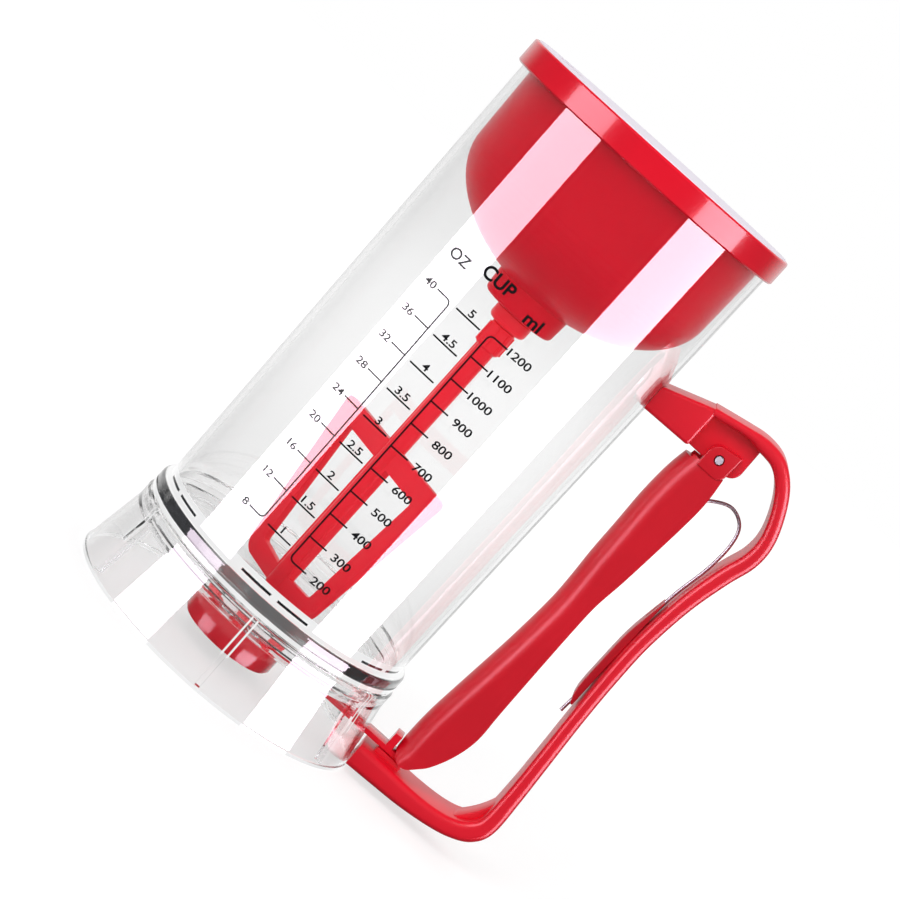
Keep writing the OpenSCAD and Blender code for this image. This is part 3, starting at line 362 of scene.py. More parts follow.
def buildClearWall():       # clear plastic with painted light and shade: where the wall is thick, a painted dark ring and dashes and a painted glow of pale bands and ribs; flow waves and rubs
    tree, source, sink = newGroup(
        "clearWall",
        # Ring Shade Colour is the painted near-black of the dark ring
        {"Vector": None, "Colour": (0.93, 0.93, 0.93, 1), "Ring Shade Colour": (0.0006, 0.0007, 0.001, 1),
         "Ring Low": -1.0, "Ring High": -0.9, "Line": -1.0, "Pale Low": -0.9, "Pale High": -0.8,
         "Rib Turn": 0.0, "Rib High": -1.0, "Rough": 0.02, "Wall Foot": 0.05, "Wall Lean": 0.01},
        {"Colour": "Color", "Roughness": "Float", "Height": "Float", "Outside": "Float", "Glow": "Color"})
    s, vector = clearWallSet, source["Vector"]
    x, y, up = splitAxes(tree, vector)
    flat = tree.nodes.new("ShaderNodeCombineXYZ")
    tree.links.new(x, flat.inputs["X"])
    tree.links.new(y, flat.inputs["Y"])
    middle = maths(tree, "MULTIPLY_ADD", up, source["Wall Lean"], source["Wall Foot"])
    outside = maths(tree, "GREATER_THAN", vectorLength(tree, flat.outputs[0]), middle)
    tree.links.new(outside, sink["Outside"])

    # painted shade: a dark ring between Ring Low and Ring High, broken up by noise streaks; all painted marks fade
    # along y
    fade = remap(tree, y, *s["fade"])
    streak = remap(tree, noise(tree, vector, s["streakScale"], 3.0), *s["streak"])
    ring = between(tree, up, source["Ring Low"], source["Ring High"])
    ring = maths(tree, "MULTIPLY", maths(tree, "MULTIPLY", ring, streak), fade)

    turn = maths(tree, "SUBTRACT", maths(tree, "ARCTAN2", y, x), source["Rib Turn"])
    turn = maths(tree, "ADD", maths(tree, "MULTIPLY", turn, s["ribCount"] / math.tau), s["turnStart"])
    beside = maths(tree, "ABSOLUTE", maths(tree, "SUBTRACT", maths(tree, "FRACT", turn), 0.5))      # 0 at a rib
    # painted shade: dark dashes at the Line height, between the ribs
    height = maths(tree, "ABSOLUTE", maths(tree, "SUBTRACT", up, source["Line"]))
    line = maths(tree, "MULTIPLY", remap(tree, height, *s["line"]), between(tree, beside, *s["dash"]))
    line = maths(tree, "MULTIPLY", line, fade)
    # painted glow: pale stripes on the ribs, from the rib foot up to Rib High
    ribHeight = between(tree, up, s["ribFoot"], source["Rib High"])
    rib = maths(tree, "MULTIPLY", between(tree, beside, *s["rib"]), ribHeight)

    # painted glow: a pale band between Pale Low and Pale High, kept off the dark ring and dashes
    pale = between(tree, up, source["Pale Low"], source["Pale High"], s["paleSoft"])
    pale = maths(tree, "MULTIPLY", maths(tree, "MAXIMUM", pale, rib),
                 maths(tree, "SUBTRACT", 1.0, maths(tree, "MAXIMUM", ring, line)))
    pale = maths(tree, "MULTIPLY", pale, fade)
    dark = maths(tree, "MAXIMUM", ring, maths(tree, "MAXIMUM", line, pale))
    # on the outer surface, the painted dark marks and pale bands turn the clear colour towards the ring shade
    # colour
    mask = maths(tree, "MULTIPLY", dark, outside)
    tree.links.new(blendColours(tree, mask, source["Colour"], source["Ring Shade Colour"]), sink["Colour"])
    # painted glow: grey in the dark ring and near white in the pale bands and ribs, sent out as Glow
    shade = remap(tree, maths(tree, "ABSOLUTE", x), *s["ringShade"])
    paleGrey = maths(tree, "MULTIPLY", pale, s["paleShade"])
    grey = maths(tree, "MAXIMUM", maths(tree, "MULTIPLY", ring, shade), paleGrey)
    tree.links.new(maths(tree, "MULTIPLY", grey, outside), sink["Glow"])

    smudge = noise(tree, vector, s["smudgeScale"], 5.0, 0.6)
    rubbed = maths(tree, "ADD", source["Rough"], s["smudgeRough"])
    tree.links.new(remap(tree, smudge, *s["smudge"], source["Rough"], rubbed), sink["Roughness"])
    tree.links.new(noise(tree, vector, s["flow"], 1.0), sink["Height"])
    return tree


groups = {"moulded": buildMouldedSkin(), "metal": buildDrawnMetal(), "clear": buildClearWall()}
reliefDepth = 0.0002


def makeMaterial(name, kind, settings, shaderSet, bump):
    material = bpy.data.materials.new(name)
    material.use_nodes = True
    tree = material.node_tree
    shader = tree.nodes["Principled BSDF"]
    group = tree.nodes.new("ShaderNodeGroup")
    group.node_tree = groups[kind]
    place = tree.nodes.new("ShaderNodeTexCoord")
    tree.links.new(place.outputs["Object"], group.inputs["Vector"])
    for label, value in settings.items():
        group.inputs[label].default_value = value
    tree.links.new(group.outputs["Colour"], shader.inputs["Base Color"])
    tree.links.new(group.outputs["Roughness"], shader.inputs["Roughness"])
    relief = tree.nodes.new("ShaderNodeBump")
    relief.inputs["Strength"].default_value = bump
    relief.inputs["Distance"].default_value = reliefDepth
    tree.links.new(group.outputs["Height"], relief.inputs["Height"])
    tree.links.new(relief.outputs["Normal"], shader.inputs["Normal"])
    for label, value in shaderSet.items():
        shader.inputs[label].default_value = value
    # clear walls: coat on the outer surface, and their painted glow as emission
    if "Outside" in group.outputs:
        tree.links.new(group.outputs["Outside"], shader.inputs["Coat Weight"])
        tree.links.new(group.outputs["Glow"], shader.inputs["Emission Color"])
    return material


glossSet = {"Coat Weight": 0.35, "Coat Roughness": 0.04, "IOR": 1.5, "Specular IOR Level": 0.32}
# the clear walls' painted glow shows at Emission Strength 1
clearSet = {"Transmission Weight": 1.0, "IOR": 1.15, "Coat Roughness": 0.01, "Coat IOR": 1.8,
            "Emission Strength": 1.0}
plainSet, steelSet, inkSet = {"IOR": 1.5}, {"Metallic": 1.0}, {"Specular IOR Level": 0.0}
ribTurn = math.radians(-86)     # the rib at the front, as in the CAD

finishSet = {       # material, group, the group's inputs, the shader's inputs, bump
    # the clear finishes set the heights and turn of the painted dark ring, dashes, pale bands and rib stripes
    "clearJar": ("clearJar", "clear",
                 {"Ring Low": 0.0350, "Ring High": 0.0398, "Line": 0.0418, "Pale Low": 0.0333, "Pale High": 0.0446,
                  "Rib Turn": ribTurn, "Wall Foot": 0.0547, "Wall Lean": 0.01}, clearSet, 0.03),
    "clearSkirt": ("clearSkirt", "clear",
                   {"Pale Low": -0.0005, "Pale High": 0.0013, "Rib Turn": ribTurn, "Rib High": 0.0345,
                    "Wall Foot": 0.0635, "Wall Lean": -0.185}, clearSet, 0.03),
    "red": ("glossyRed", "moulded", {"Colour": (0.84, 0.006, 0.024, 1), "Rough": 0.17}, glossSet, 0.02),
    # painted shade: the lever's red is darker than the handle's, for its shaded front edge
    "leverShadedRed": ("leverShadedRed", "moulded",
                 {"Colour": (0.68, 0.003, 0.016, 1), "Rough": 0.31, "Smudge": 0.02}, plainSet, 0.01),
    "handleRed": ("handleRed", "moulded",
                  {"Colour": (0.82, 0.005, 0.022, 1), "Rough": 0.31, "Smudge": 0.02}, plainSet, 0.01),
    "redMatt": ("satinRed", "moulded",
                {"Colour": (0.71, 0.002, 0.018, 1), "Rough": 0.34}, {"Specular IOR Level": 0.04}, 0.05),
    "innerRed": ("innerRed", "moulded",
                 {"Colour": (0.92, 0.003, 0.022, 1), "Rough": 0.3}, {"Specular IOR Level": 0.2}, 0.01),
    "darkRed": ("darkRed", "moulded",
                {"Colour": (0.3, 0.003, 0.012, 1), "Rough": 0.4}, {"Specular IOR Level": 0.02}, 0.03),
    "white": ("satinWhite", "moulded",
              {"Colour": (0.8, 0.74, 0.84, 1), "Rough": 0.3, "Cloud": 0.015}, {"Specular IOR Level": 0.15}, 0.04),
    "grey": ("mattGrey", "moulded", {"Colour": (0.2, 0.21, 0.22, 1), "Rough": 0.5, "Grain": 1500.0}, {}, 0.2),
    "black": ("mattBlack", "moulded", {"Colour": (0.02, 0.02, 0.02, 1), "Rough": 0.45, "Grain": 1500.0}, {}, 0.2),
    "silicone": ("milkySilicone", "moulded", {"Colour": (0.75, 0.75, 0.73, 1), "Rough": 0.55, "Cloud": 0.03},
                 {"Subsurface Weight": 0.15, "Subsurface Scale": 0.002}, 0.15),
    "rubber": ("sealRubber", "moulded",
               {"Colour": (0.025, 0.025, 0.027, 1), "Rough": 0.6, "Grain": 2000.0}, {}, 0.3),
    "steel": ("turnedSteel", "metal", {"Colour": (0.9, 0.9, 0.92, 1), "Rough": 0.5}, steelSet, 0.12),
    "screwSteel": ("zincSteel", "metal", {"Colour": (0.66, 0.67, 0.69, 1), "Rough": 0.3}, steelSet, 0.2),
    "springSteel": ("springWire", "metal", {"Colour": (0.62, 0.62, 0.64, 1), "Rough": 0.5}, steelSet, 0.05),
    # painted shade: the clip's red is darker than the handle's, for the shade it sits in
    "shadedClipRed": ("shadedClipRed", "moulded", {"Colour": (0.6, 0.004, 0.018, 1), "Rough": 0.3}, plainSet, 0.03),
    "contact": ("nickelStrip", "metal", {"Colour": (0.78, 0.7, 0.5, 1), "Rough": 0.28}, steelSet, 0.15),
    "bronze": ("sinteredBronze", "metal", {"Colour": (0.55, 0.36, 0.16, 1), "Rough": 0.4}, steelSet, 0.3),
    "cell": ("cellSleeve", "moulded", {"Colour": (0.05, 0.06, 0.08, 1), "Rough": 0.25}, glossSet, 0.05),
    "ink": ("blackInk", "moulded", {"Colour": (0.012, 0.012, 0.014, 1), "Rough": 0.6, "Smudge": 0.1}, inkSet, 0.1),
    "greyInk": ("greyInk", "moulded", {"Colour": (0.1, 0.1, 0.105, 1), "Rough": 0.6, "Smudge": 0.1}, inkSet, 0.1),
}
materials = {finish: makeMaterial(*row) for finish, row in finishSet.items()}

nodeFinish = {
    "jar": "clearJar", "jar_floor": "clearSkirt", "outlet_seat": "clearSkirt", "base_skirt": "clearSkirt",
    "valve_seal": "silicone", "valve_body": "red", "valve_screws": "screwSteel", "valve_slider": "red",
    "handle_frame": "handleRed", "handle_screws": "screwSteel", "lever": "leverShadedRed", "pivot_pin": "steel",
    "return_spring": "springSteel", "spring_clip": "shadedClipRed", "lid_ring": "red", "lid_gasket": "silicone",
    "ring_screws": "screwSteel", "motor_housing": "redMatt", "gear_motor": "screwSteel", "shaft_bush": "bronze",
    "shaft_seal": "rubber", "drive_shaft": "steel", "drive_coupling": "innerRed", "stirrer": "innerRed",
    "battery_tray": "grey", "batteries": "cell", "contact_springs": "contact", "top_cover": "white",
    "cover_contacts": "contact", "power_button": "darkRed", "button_spring": "screwSteel", "switch": "black",
}
for node, finish in nodeFinish.items():
    for slot in nodes[node].material_slots:
        slot.material = materials[finish]
print("materials:", len(materials))


# mesh tools, in millimetres

def arc(centre, radius, start, end, steps):
    turns = [math.radians(start + (end - start) * i / steps) for i in range(steps + 1)]
    return [(centre[0] + radius * math.cos(t), centre[1] + radius * math.sin(t)) for t in turns]


def smoothPath(points, cuts):       # a curve through all the points
    path, last = [], len(points) - 1
    for i in range(last):
        a, b, c, d = (Vector(points[k]) for k in (max(i - 1, 0), i, i + 1, min(i + 2, last)))
        for k in range(cuts):
            t = k / cuts
            path.append(0.5 * (2 * b + (c - a) * t + (2 * a - 5 * b + 4 * c - d) * t * t
                               + (3 * b - a - 3 * c + d) * t * t * t))
    return path + [Vector(points[last])]


def alongPath(path, i):     # the path's direction at one of its points
    return path[min(i + 1, len(path) - 1)] - path[max(i - 1, 0)]


def sweepRings(bm, rings, closed=True):     # pulls a loop of edges through rings of points
    verts = [bm.verts.new(p) for p in rings[0]]
    first, count = verts, len(verts)
    edges = [bm.edges.new((verts[i], verts[(i + 1) % count])) for i in range(count if closed else count - 1)]
    for ring in rings[1:]:
        made = bmesh.ops.extrude_edge_only(bm, edges=edges)["geom"]
        order = {v: i for i, v in enumerate(verts)}
        fresh = {}
        for v in made:
            if isinstance(v, bmesh.types.BMVert):
                fresh[next(order[e.other_vert(v)] for e in v.link_edges if e.other_vert(v) in order)] = v
        verts = [fresh[i] for i in range(count)]
        for v, p in zip(verts, ring):
            v.co = p
        new = set(verts)
        edges = [e for e in made if isinstance(e, bmesh.types.BMEdge) and new.issuperset(e.verts)]
    if closed:
        bm.faces.new(first[::-1])
        bm.faces.new(verts)


def addPrism(bm, outline, width, middle=0.0):       # outline in the XZ plane, width along Y
    face = bm.faces.new([bm.verts.new((x, middle - width / 2, z)) for x, z in outline])
    made = bmesh.ops.extrude_face_region(bm, geom=[face])["geom"]
    verts = [v for v in made if isinstance(v, bmesh.types.BMVert)]
    bmesh.ops.translate(bm, vec=(0, width, 0), verts=verts)
    return list(face.verts) + verts


def addBox(bm, low, high):
    made = bmesh.ops.create_cube(bm, size=1)["verts"]
    bmesh.ops.scale(bm, vec=[h - l for l, h in zip(low, high)], verts=made)
    bmesh.ops.translate(bm, vec=[(h + l) / 2 for l, h in zip(low, high)], verts=made)
    return made


def addRod(bm, centre, radius, length, axis="Z", segments=48, farRadius=None):
    turn = {"Z": Matrix.Identity(3), "Y": Matrix.Rotation(math.radians(-90), 3, "X")}[axis]
    made = bmesh.ops.create_cone(bm, cap_ends=True, segments=segments, radius1=radius,
                                 radius2=farRadius or radius, depth=length)["verts"]
    bmesh.ops.rotate(bm, cent=(0, 0, 0), matrix=turn, verts=made)
    bmesh.ops.translate(bm, vec=centre, verts=made)


def softenEdges(bm, size, angle=30, segments=2, verts=None):
    chosen = set(verts) if verts else None
    edges = [e for e in bm.edges if len(e.link_faces) == 2 and e.calc_face_angle(0) > math.radians(angle)
             and (chosen is None or chosen.issuperset(e.verts))]
    bmesh.ops.bevel(bm, geom=edges, offset=size, offset_type="OFFSET", segments=segments, profile=0.5,
                    affect="EDGES", clamp_overlap=True, material=-1)


def copyNode(node):     # the CAD node's shape, merged, in millimetres
    bm = bmesh.new()
    bm.from_mesh(nodes[node].data)
    bmesh.ops.scale(bm, vec=(1000, 1000, 1000), verts=bm.verts)
    bmesh.ops.remove_doubles(bm, verts=bm.verts, dist=0.003)
    bmesh.ops.dissolve_limit(bm, angle_limit=math.radians(0.6), verts=bm.verts, edges=bm.edges)
    return bm


def evaluatedMesh(thing):
    bpy.context.view_layer.update()
    return bpy.data.meshes.new_from_object(thing.evaluated_get(bpy.context.evaluated_depsgraph_get()))


def cutAway(piece, cutter):     # takes the cutter's shape out of the piece
    bmesh.ops.recalc_face_normals(cutter, faces=cutter.faces)
    bmesh.ops.scale(cutter, vec=(mm, mm, mm), verts=cutter.verts)
    tool = newObject("cutter", bakeMesh(cutter, "cutter"))
    cut = piece.modifiers.new("cut", "BOOLEAN")
    cut.operation, cut.solver, cut.object, cut.use_self = "DIFFERENCE", "EXACT", tool, True
    result = evaluatedMesh(piece)
    piece.modifiers.clear()
    bpy.data.objects.remove(tool)
    return result


def paint(mesh, finish):
    mesh.materials.clear()
    mesh.materials.append(materials[finish])


def finishPiece(bm, name, body, finish, crease, node, cutter=None):       # the piece stands for the node
    bmesh.ops.remove_doubles(bm, verts=bm.verts, dist=0.001)
    bmesh.ops.recalc_face_normals(bm, faces=bm.faces)
    bmesh.ops.scale(bm, vec=(mm, mm, mm), verts=bm.verts)
    piece = newObject(name, bakeMesh(bm, name))
    if cutter:
        piece.data = cutAway(piece, cutter)
    paint(piece.data, finish)
    piece.data.shade_smooth()
    piece.data.set_sharp_from_angle(angle=math.radians(crease))
    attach(piece, body)
    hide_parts(node)
    return piece


def blendAcross(piece):       # takes the piece off its body and bakes its place into the mesh
    piece.parent = None
    del piece["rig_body"]
    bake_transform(piece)


# handle

handleSet = {
    "width": 24.0, "edge": 2.5, "gripX": 114.0, "armZ": 7.6, "loopHeight": 185.6,
    "armStart": [(63.5, 7.6, 9.4), (75.75, 7.9, 9.0)],
    "loop": [   # outward of the grip, share of the height, thickness
        (-26, 0.003, 8.2), (-13.5, 0.01, 7.4), (-5, 0.022, 7.4), (1, 0.042, 7.8), (4, 0.075, 7.2),
        (3.8, 0.15, 6.4), (2.8, 0.23, 6), (1, 0.36, 5.7), (0, 0.47, 5.8), (0, 0.56, 5.8),
        (1.8, 0.665, 6.1), (5.2, 0.755, 6.4), (8.4, 0.815, 6.2), (8.2, 0.865, 5.8),
        (4.3, 0.92, 5.5), (-1.2, 0.965, 5.6), (-8, 0.993, 5.7), (-16, 1, 5.6), (-24, 0.999, 3.4)],
    "loopEnd": (76.5, 190.3, 3.4),
    "upperArm": [(51.8, 174.4), (77.5, 174.9), (77.5, 192.0), (71.5, 190.0), (51.8, 183.2)], "armEdge": 1.5,
    "pivot": (89.6, 178.5), "lugWidth": 12.6, "lugEdge": 0.6,
    "lugRoot": [(76.5, 191.2), (76.5, 175.4)],
    "lugNose": (4.8, 1.4, 4.8), "lugTop": (9.2, 192.2),     # outward from the pivot; the nose's radius comes last
    "gussetFoot": [(117, 11.6), (103, 10.6)], "gussetTop": (117, 32.6),
    "gussetHollow": ((81, 39.6), 35.5, -46, -12),       # middle, radius, from and to in degrees
    "screwPad": ((68.5, -5, 7.6), (80.5, 5, 14.6)),
    "jarCone": (56.6, 58.6, 41.0, 241.7),   # the jar's radius at the foot and the rim, and their heights
    "screws": [(64.4, 174.4, 2.0), (70.6, 2.9, 1.6)],   # place, underside, depth of the seat
    "screwHead": 2.9, "screwRoom": 2,
}


def bandSection(width, thickness, edge, steps=6):
    r = min(edge, thickness / 2 - 0.05)
    u, v = thickness / 2 - r, width / 2 - r
    points = []
    for cu, cv, start in ((u, v, 0), (-u, v, 90), (-u, -v, 180), (u, -v, 270)):
        points += arc((cu, cv), r, start, start + 90, steps)
    return points


def makeHandle():
    s = handleSet
    bm = bmesh.new()
    stations = [Vector(p) for p in s["armStart"]]
    stations += [Vector((s["gripX"] + p[0], s["armZ"] + s["loopHeight"] * p[1], p[2])) for p in s["loop"]]
    path = smoothPath(stations + [Vector(s["loopEnd"])], 7)
    rings = []
    for i, p in enumerate(path):
        d = Vector(alongPath(path, i)[:2]).normalized()
        rings.append([(p.x - d.y * u, v, p.y + d.x * u) for u, v in bandSection(s["width"], p.z, s["edge"])])
    sweepRings(bm, rings)
    arm = addPrism(bm, s["upperArm"], s["width"])
    softenEdges(bm, s["armEdge"], segments=4, verts=arm)
    (px, pz), (noseX, noseZ, nose), (topX, topZ) = s["pivot"], s["lugNose"], s["lugTop"]
    front = arc((px + noseX, pz + noseZ), nose, -90, 0, 8)
    lug = addPrism(bm, s["lugRoot"] + front + [(px + topX, topZ)], s["lugWidth"])
    softenEdges(bm, s["lugEdge"], segments=3, verts=lug)
    hollow = arc(*s["gussetHollow"], 10)
    gusset = addPrism(bm, s["gussetFoot"] + hollow + [s["gussetTop"]], s["lugWidth"])
    softenEdges(bm, s["lugEdge"], verts=gusset)
    pad = addBox(bm, *s["screwPad"])
    softenEdges(bm, s["lugEdge"], verts=pad)
    cutter = bmesh.new()
    low, high, bottom, top = s["jarCone"]
    addRod(cutter, (0, 0, (bottom + top) / 2), low, top - bottom, segments=128, farRadius=high)
    for x, z, depth in s["screws"]:
        room = s["screwRoom"]
        addRod(cutter, (x, 0, z + depth / 2 - room / 2), s["screwHead"], depth + room)
    finishPiece(bm, "handleLoop", "tank", "handleRed", 30, "handle_frame", cutter)


# lever

leverSet = {
    "pivot": (89.6, 178.5), "foot": 15.5, "height": 158.5, "width": 19.0, "wall": 2.4, "round": 9.4,
    "stations": [   # share of the height, front edge, back edge
        (0, -13, -9.2), (0.006, -14.9, -7.4), (0.022, -15.5, -5), (0.045, -15.8, -2),
        (0.09, -15.9, 1.4), (0.14, -15.6, 3.7), (0.185, -15, 4.4), (0.25, -14, 3.9),
        (0.39, -11.9, 3.3), (0.515, -10.7, 2.9), (0.59, -10.9, 3), (0.67, -11.7, 4.4),
        (0.76, -12.1, 5.6), (0.845, -12.6, 6.6), (0.91, -12.4, 7.1), (0.955, -11.8, 6.8), (1, -10.6, 5.9)],
    "solidTo": 0.024, "lap": 0.005,     # the solid foot and the channel's reach into it, in shares of the height
    "earInside": 6.7, "earWidth": 3.4, "earEdge": 0.5, "boreRadius": 2.0,
    # top, round front, chin and round heel of the ear from the pivot, with a radius where it is round
    "ear": [(6.1, 6), (0.2, -0.4, 5.6), (-5.2, -6.4), (2, -2.4, 4)],
    "fork": (5.8, 18.0), "forkBehind": (76.3, 10, 20.0),    # half width and top; where it goes higher, from and to
    "cutReach": (60, 120), "cutFoot": 5, "lugRoom": (172.4, 200),
}


def leverHalfRing(station, inset):      # front edge round to the back, open behind
    s = leverSet
    front, back = s["pivot"][0] + station.y + inset, s["pivot"][0] + station.z
    w = s["width"] / 2 - inset
    r = min(max(s["round"] - inset, 1), (back - front) * 0.7, w - 0.5)
    curve = arc((front + r, r - w), r, 270, 180, 10) + arc((front + r, w - r), r, 180, 90, 10)
    z = s["foot"] + s["height"] * station.x
    return [Vector((x, y, z)) for x, y in [(back, -w)] + curve + [(back, w)]]


def makeLever():
    s = leverSet
    px, pz = s["pivot"]
    bm = bmesh.new()
    stations = smoothPath(s["stations"], 5)
    foot = [p for p in stations if p.x <= s["solidTo"]]
    sweepRings(bm, [leverHalfRing(p, 0) for p in foot])
    channel = [p for p in stations if p.x > s["solidTo"] - s["lap"]]
    sweepRings(bm, [leverHalfRing(p, 0) + leverHalfRing(p, s["wall"])[::-1] for p in channel])
    (topX, topZ), (frontX, frontZ, front), (chinX, chinZ), (heelX, heelZ, heel) = s["ear"]
    ear = ([(px + topX, pz + topZ)] + arc((px + frontX, pz + frontZ), front, 118, 176, 8)
           + [(px + chinX, pz + chinZ)] + arc((px + heelX, pz + heelZ), heel, -90, -20, 6))
    for side in (-1, 1):
        verts = addPrism(bm, ear, s["earWidth"], side * (s["earInside"] + s["earWidth"] / 2))
        softenEdges(bm, s["earEdge"], segments=3, verts=verts)
    (near, far), (half, forkTop), (behind, low, high) = s["cutReach"], s["fork"], s["forkBehind"]
    (roomLow, roomHigh), inside = s["lugRoom"], s["earInside"]
    cutter = bmesh.new()
    addBox(cutter, (near, -half, s["cutFoot"]), (far, half, forkTop))
    addBox(cutter, (behind, -half, low), (far, half, high))
    addBox(cutter, (near, -inside, roomLow), (far, inside, roomHigh))
    addRod(cutter, (px, 0, pz), s["boreRadius"], 40, "Y")
    finishPiece(bm, "squeezeLever", "lever", "leverShadedRed", 30, "lever", cutter)


# spring wire, from the clip over the hook to the lever

springSet = {
    "radius": 0.7, "sides": 14,
    "path": [(109.6, 69.9), (110.2, 82.9), (110.2, 100.4), (110.3, 114.4), (111.5, 130.4), (114.0, 145.4),
             (114.3, 157.4), (111.8, 164.9), (105.2, 167.9), (97.7, 164.4), (90.7, 157.9), (82.6, 150.5)],
    "bendFrom": (107.0, 0.0, 150.0), "bendTo": (86.0, 0.0, 150.0),
}


def makeSpring():
    s = springSet
    bm = bmesh.new()
    path = smoothPath([(x, z, 0) for x, z in s["path"]], 9)
    turns = [math.tau * k / s["sides"] for k in range(s["sides"])]
    circle = [(s["radius"] * math.cos(a), s["radius"] * math.sin(a)) for a in turns]
    rings = []
    for i, p in enumerate(path):
        d = alongPath(path, i).normalized()
        rings.append([(p.x - d.y * u, v, p.y + d.x * u) for u, v in circle])
    sweepRings(bm, rings)
    piece = finishPiece(bm, "springWire", "tank", "springSteel", 50, "return_spring")
    blendAcross(piece)


def makeButtonSpring():     # the button presses it together
    bm = copyNode("button_spring")
    piece = finishPiece(bm, "buttonCoil", "lid_unit", "screwSteel", 50, "button_spring")
    blendAcross(piece)


# CAD forms with rounded edges

softSet = [     # node, piece, body, finish, slot, edge
    ("stirrer", "stirringFrame", "stirring", "innerRed", "red_plastic", 0.55),
    ("valve_slider", "gateBar", "gate", "red", "red_plastic", 0.35),
    # the clip's darker red is painted shade
    ("spring_clip", "wireClip", "tank", "shadedClipRed", "dark_red_plastic", 0.35),
    ("valve_body", "valveHousing", "tank", "red", "red_plastic", 0.3),
]


def makeSoftened():
    for node, name, body, finish, slotName, edge in softSet:
        bm = copyNode(node)
        softenEdges(bm, edge, 35, 3)
        finishPiece(bm, name, body, finish, 34, node)


# printed scale on the front of the jar

printSet = {
    "jarFoot": (56.4, 41.0), "jarRim": (58.4, 241.7), "lift": 0.06,
    "millilitres": {"marks": range(200, 1300, 100), "line": -1.3, "tick": 6.6, "numbers": 17.1,
                    "low": 55.95, "high": 162.1, "stroke": 0.62, "weight": 0.018, "wide": 1.27},
    "cups": {"marks": [1, 1.5, 2, 2.5, 3, 3.5, 4, 4.5, 5], "ticks": [(-16.2, -5.0, 160.8), (-15.1, -4.1, 59.8)],
             "above": 0.9, "size": 0.95, "stroke": 0.62, "weight": 0.018, "wide": 1.25},
    "ounces": {"marks": range(8, 44, 4), "line": [(-18.95, 161.0), (-17.85, 59.8)], "tick": -25.6,
               "beside": 0.9, "size": 0.9, "stroke": 0.55, "weight": 0.01, "wide": 1.2},
    "digit": 3.0, "bend": 2.0,
    "swell": 0.04,      # the marks stand wider apart where the jar is narrower
    "greyLabels": [("OZ", -22.8, 172.4, 4.0, 0.012, 1.0)],      # text, right end, foot, height, weight, width
    "blackLabels": [("CUP", -4.5, 175.4, 5.0, 0.025, 1.0), ("ml", 10.8, 172.8, 4.7, 0.025, 1.13)],
}


def onJar(x, z):
    (r0, z0), (r1, z1) = printSet["jarFoot"], printSet["jarRim"]
    r = r0 + (r1 - r0) * (z - z0) / (z1 - z0) + printSet["lift"]
    return Vector((x, -math.sqrt(r * r - x * x), z))


def addStroke(bm, path, width):     # flat ribbon on the jar along points in x and z
    dense = []
    for a, b in zip(path, path[1:]):
        steps = max(1, int(math.dist(a, b) / 1.5))
        dense += [(a[0] + (b[0] - a[0]) * i / steps, a[1] + (b[1] - a[1]) * i / steps) for i in range(steps)]
    dense.append(path[-1])
    rings = []
    for i, p in enumerate(dense):
        a, b = dense[max(i - 1, 0)], dense[min(i + 1, len(dense) - 1)]
        d = Vector((b[0] - a[0], b[1] - a[1])).normalized() * width / 2
        rings.append([onJar(p[0] - d.y, p[1] + d.x), onJar(p[0] + d.y, p[1] - d.x)])
    sweepRings(bm, rings, closed=False)


def markHeight(t, low, high):
    return low + (high - low) * (t + printSet["swell"] * t * (1 - t))


def addText(bm, text, x, z, height, weight, wide, align="RIGHT"):
    curve = bpy.data.curves.new("label", "FONT")
    curve.body, curve.size, curve.align_x, curve.offset = text, 1.0, align, weight
    label = newObject("label", curve)
    mesh = evaluatedMesh(label)
    bpy.data.objects.remove(label)
    top = max(v.co.y for v in mesh.vertices)
    start = len(bm.verts)
    bm.from_mesh(mesh)
    bm.verts.ensure_lookup_table()
    for v in bm.verts[start:]:
        v.co = onJar(x + v.co.x * wide * height / top, z + v.co.y * height / top)


def roundedBracket(line, tick, low, high):      # a line with a short arm at either end
    radius = printSet["bend"]
    side = 1 if tick > line else -1
    upper = arc((line + side * radius, high - radius), radius, 180 if side > 0 else 0, 90, 6)
    lower = [(x, low + high - z) for x, z in upper]
    return [(tick, low)] + lower[::-1] + upper + [(tick, high)]


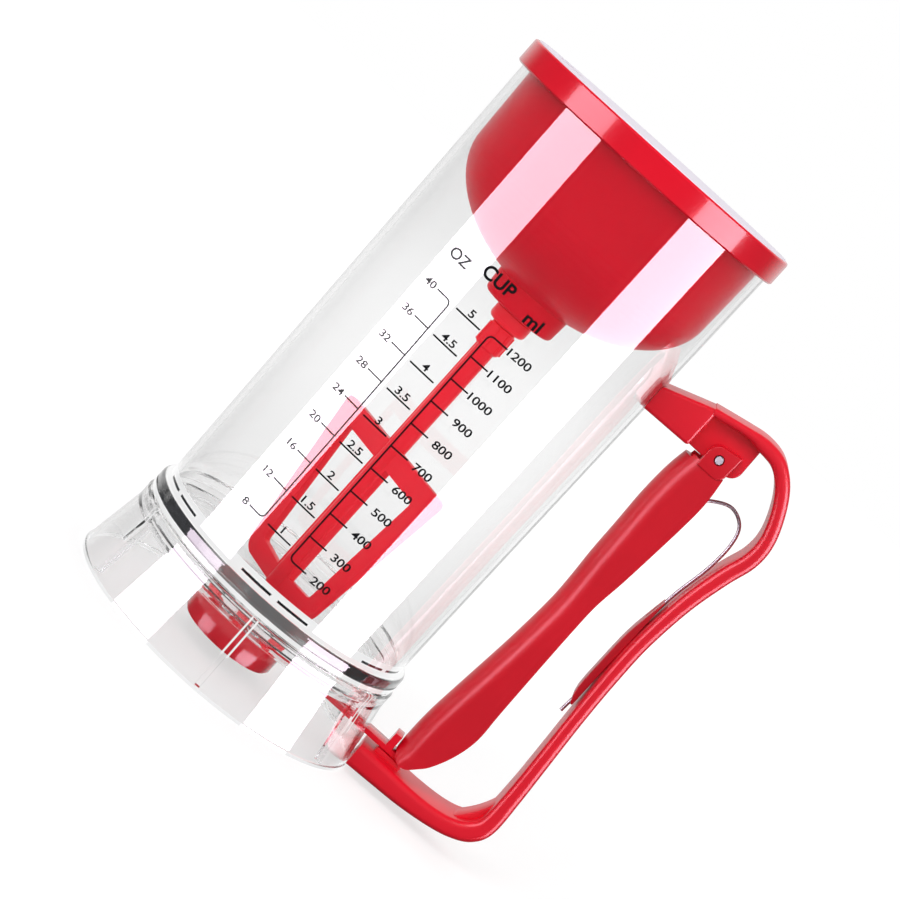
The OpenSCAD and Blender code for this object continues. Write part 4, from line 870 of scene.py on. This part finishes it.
def printMillilitres(bm):
    s, digit = printSet["millilitres"], printSet["digit"]
    line, tick, low, high, stroke = (s[label] for label in ("line", "tick", "low", "high", "stroke"))
    last = len(s["marks"]) - 1
    addStroke(bm, roundedBracket(line, tick, low, high), stroke)
    for i, mark in enumerate(s["marks"]):
        z = markHeight(i / last, low, high)
        if 0 < i < last:
            addStroke(bm, [(line, z), (tick, z)], stroke)
        addText(bm, str(mark), s["numbers"], z - digit / 2, digit, s["weight"], s["wide"])


def printCups(bm):
    s, digit = printSet["cups"], printSet["digit"]
    (x0, x1, high), (x2, x3, low) = s["ticks"]
    last = len(s["marks"]) - 1
    for i, mark in enumerate(s["marks"]):
        t = i / last
        a, b, z = x2 + (x0 - x2) * t, x3 + (x1 - x3) * t, markHeight(t, low, high)
        addStroke(bm, [(a, z), (b, z)], s["stroke"])
        addText(bm, str(mark), (a + b) / 2, z + s["above"], digit * s["size"], s["weight"], s["wide"], "CENTER")


def printOunces(bm):
    s, digit = printSet["ounces"], printSet["digit"]
    (lineTop, high), (lineFoot, low) = s["line"]
    last = len(s["marks"]) - 1
    for i, mark in enumerate(s["marks"]):
        z = markHeight(i / last, low, high)
        line = lineFoot + (lineTop - lineFoot) * i / last
        tick = s["tick"] + line - lineTop
        if 0 < i < last:
            addStroke(bm, [(line, z), (tick, z)], s["stroke"])
        size = digit * s["size"]
        addText(bm, str(mark), tick - s["beside"], z - size / 2, size, s["weight"], s["wide"])
    bracket = roundedBracket(lineTop, s["tick"], low, high)
    leaning = [(x + (lineFoot - lineTop) * (high - z) / (high - low), z) for x, z in bracket]
    addStroke(bm, leaning, s["stroke"])


def finishPrint(bm, name, finish):
    bmesh.ops.scale(bm, vec=(mm, mm, mm), verts=bm.verts)
    for f in bm.faces:
        f.normal_update()
        if f.normal.y > 0:
            f.normal_flip()
    piece = newObject(name, bakeMesh(bm, name))
    paint(piece.data, finish)
    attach(piece, "tank")


def printScale():
    black, grey = bmesh.new(), bmesh.new()
    printMillilitres(black)
    printCups(black)
    printOunces(grey)
    for bm, labels in ((black, "blackLabels"), (grey, "greyLabels")):
        for label in printSet[labels]:
            addText(bm, *label)
    finishPrint(black, "scaleMarks", "ink")
    finishPrint(grey, "ounceMarks", "greyInk")


makeHandle()
makeLever()
makeSpring()
makeButtonSpring()
makeSoftened()
print("handle, lever, springs and stirring frame built")
printScale()
print("scale printed")
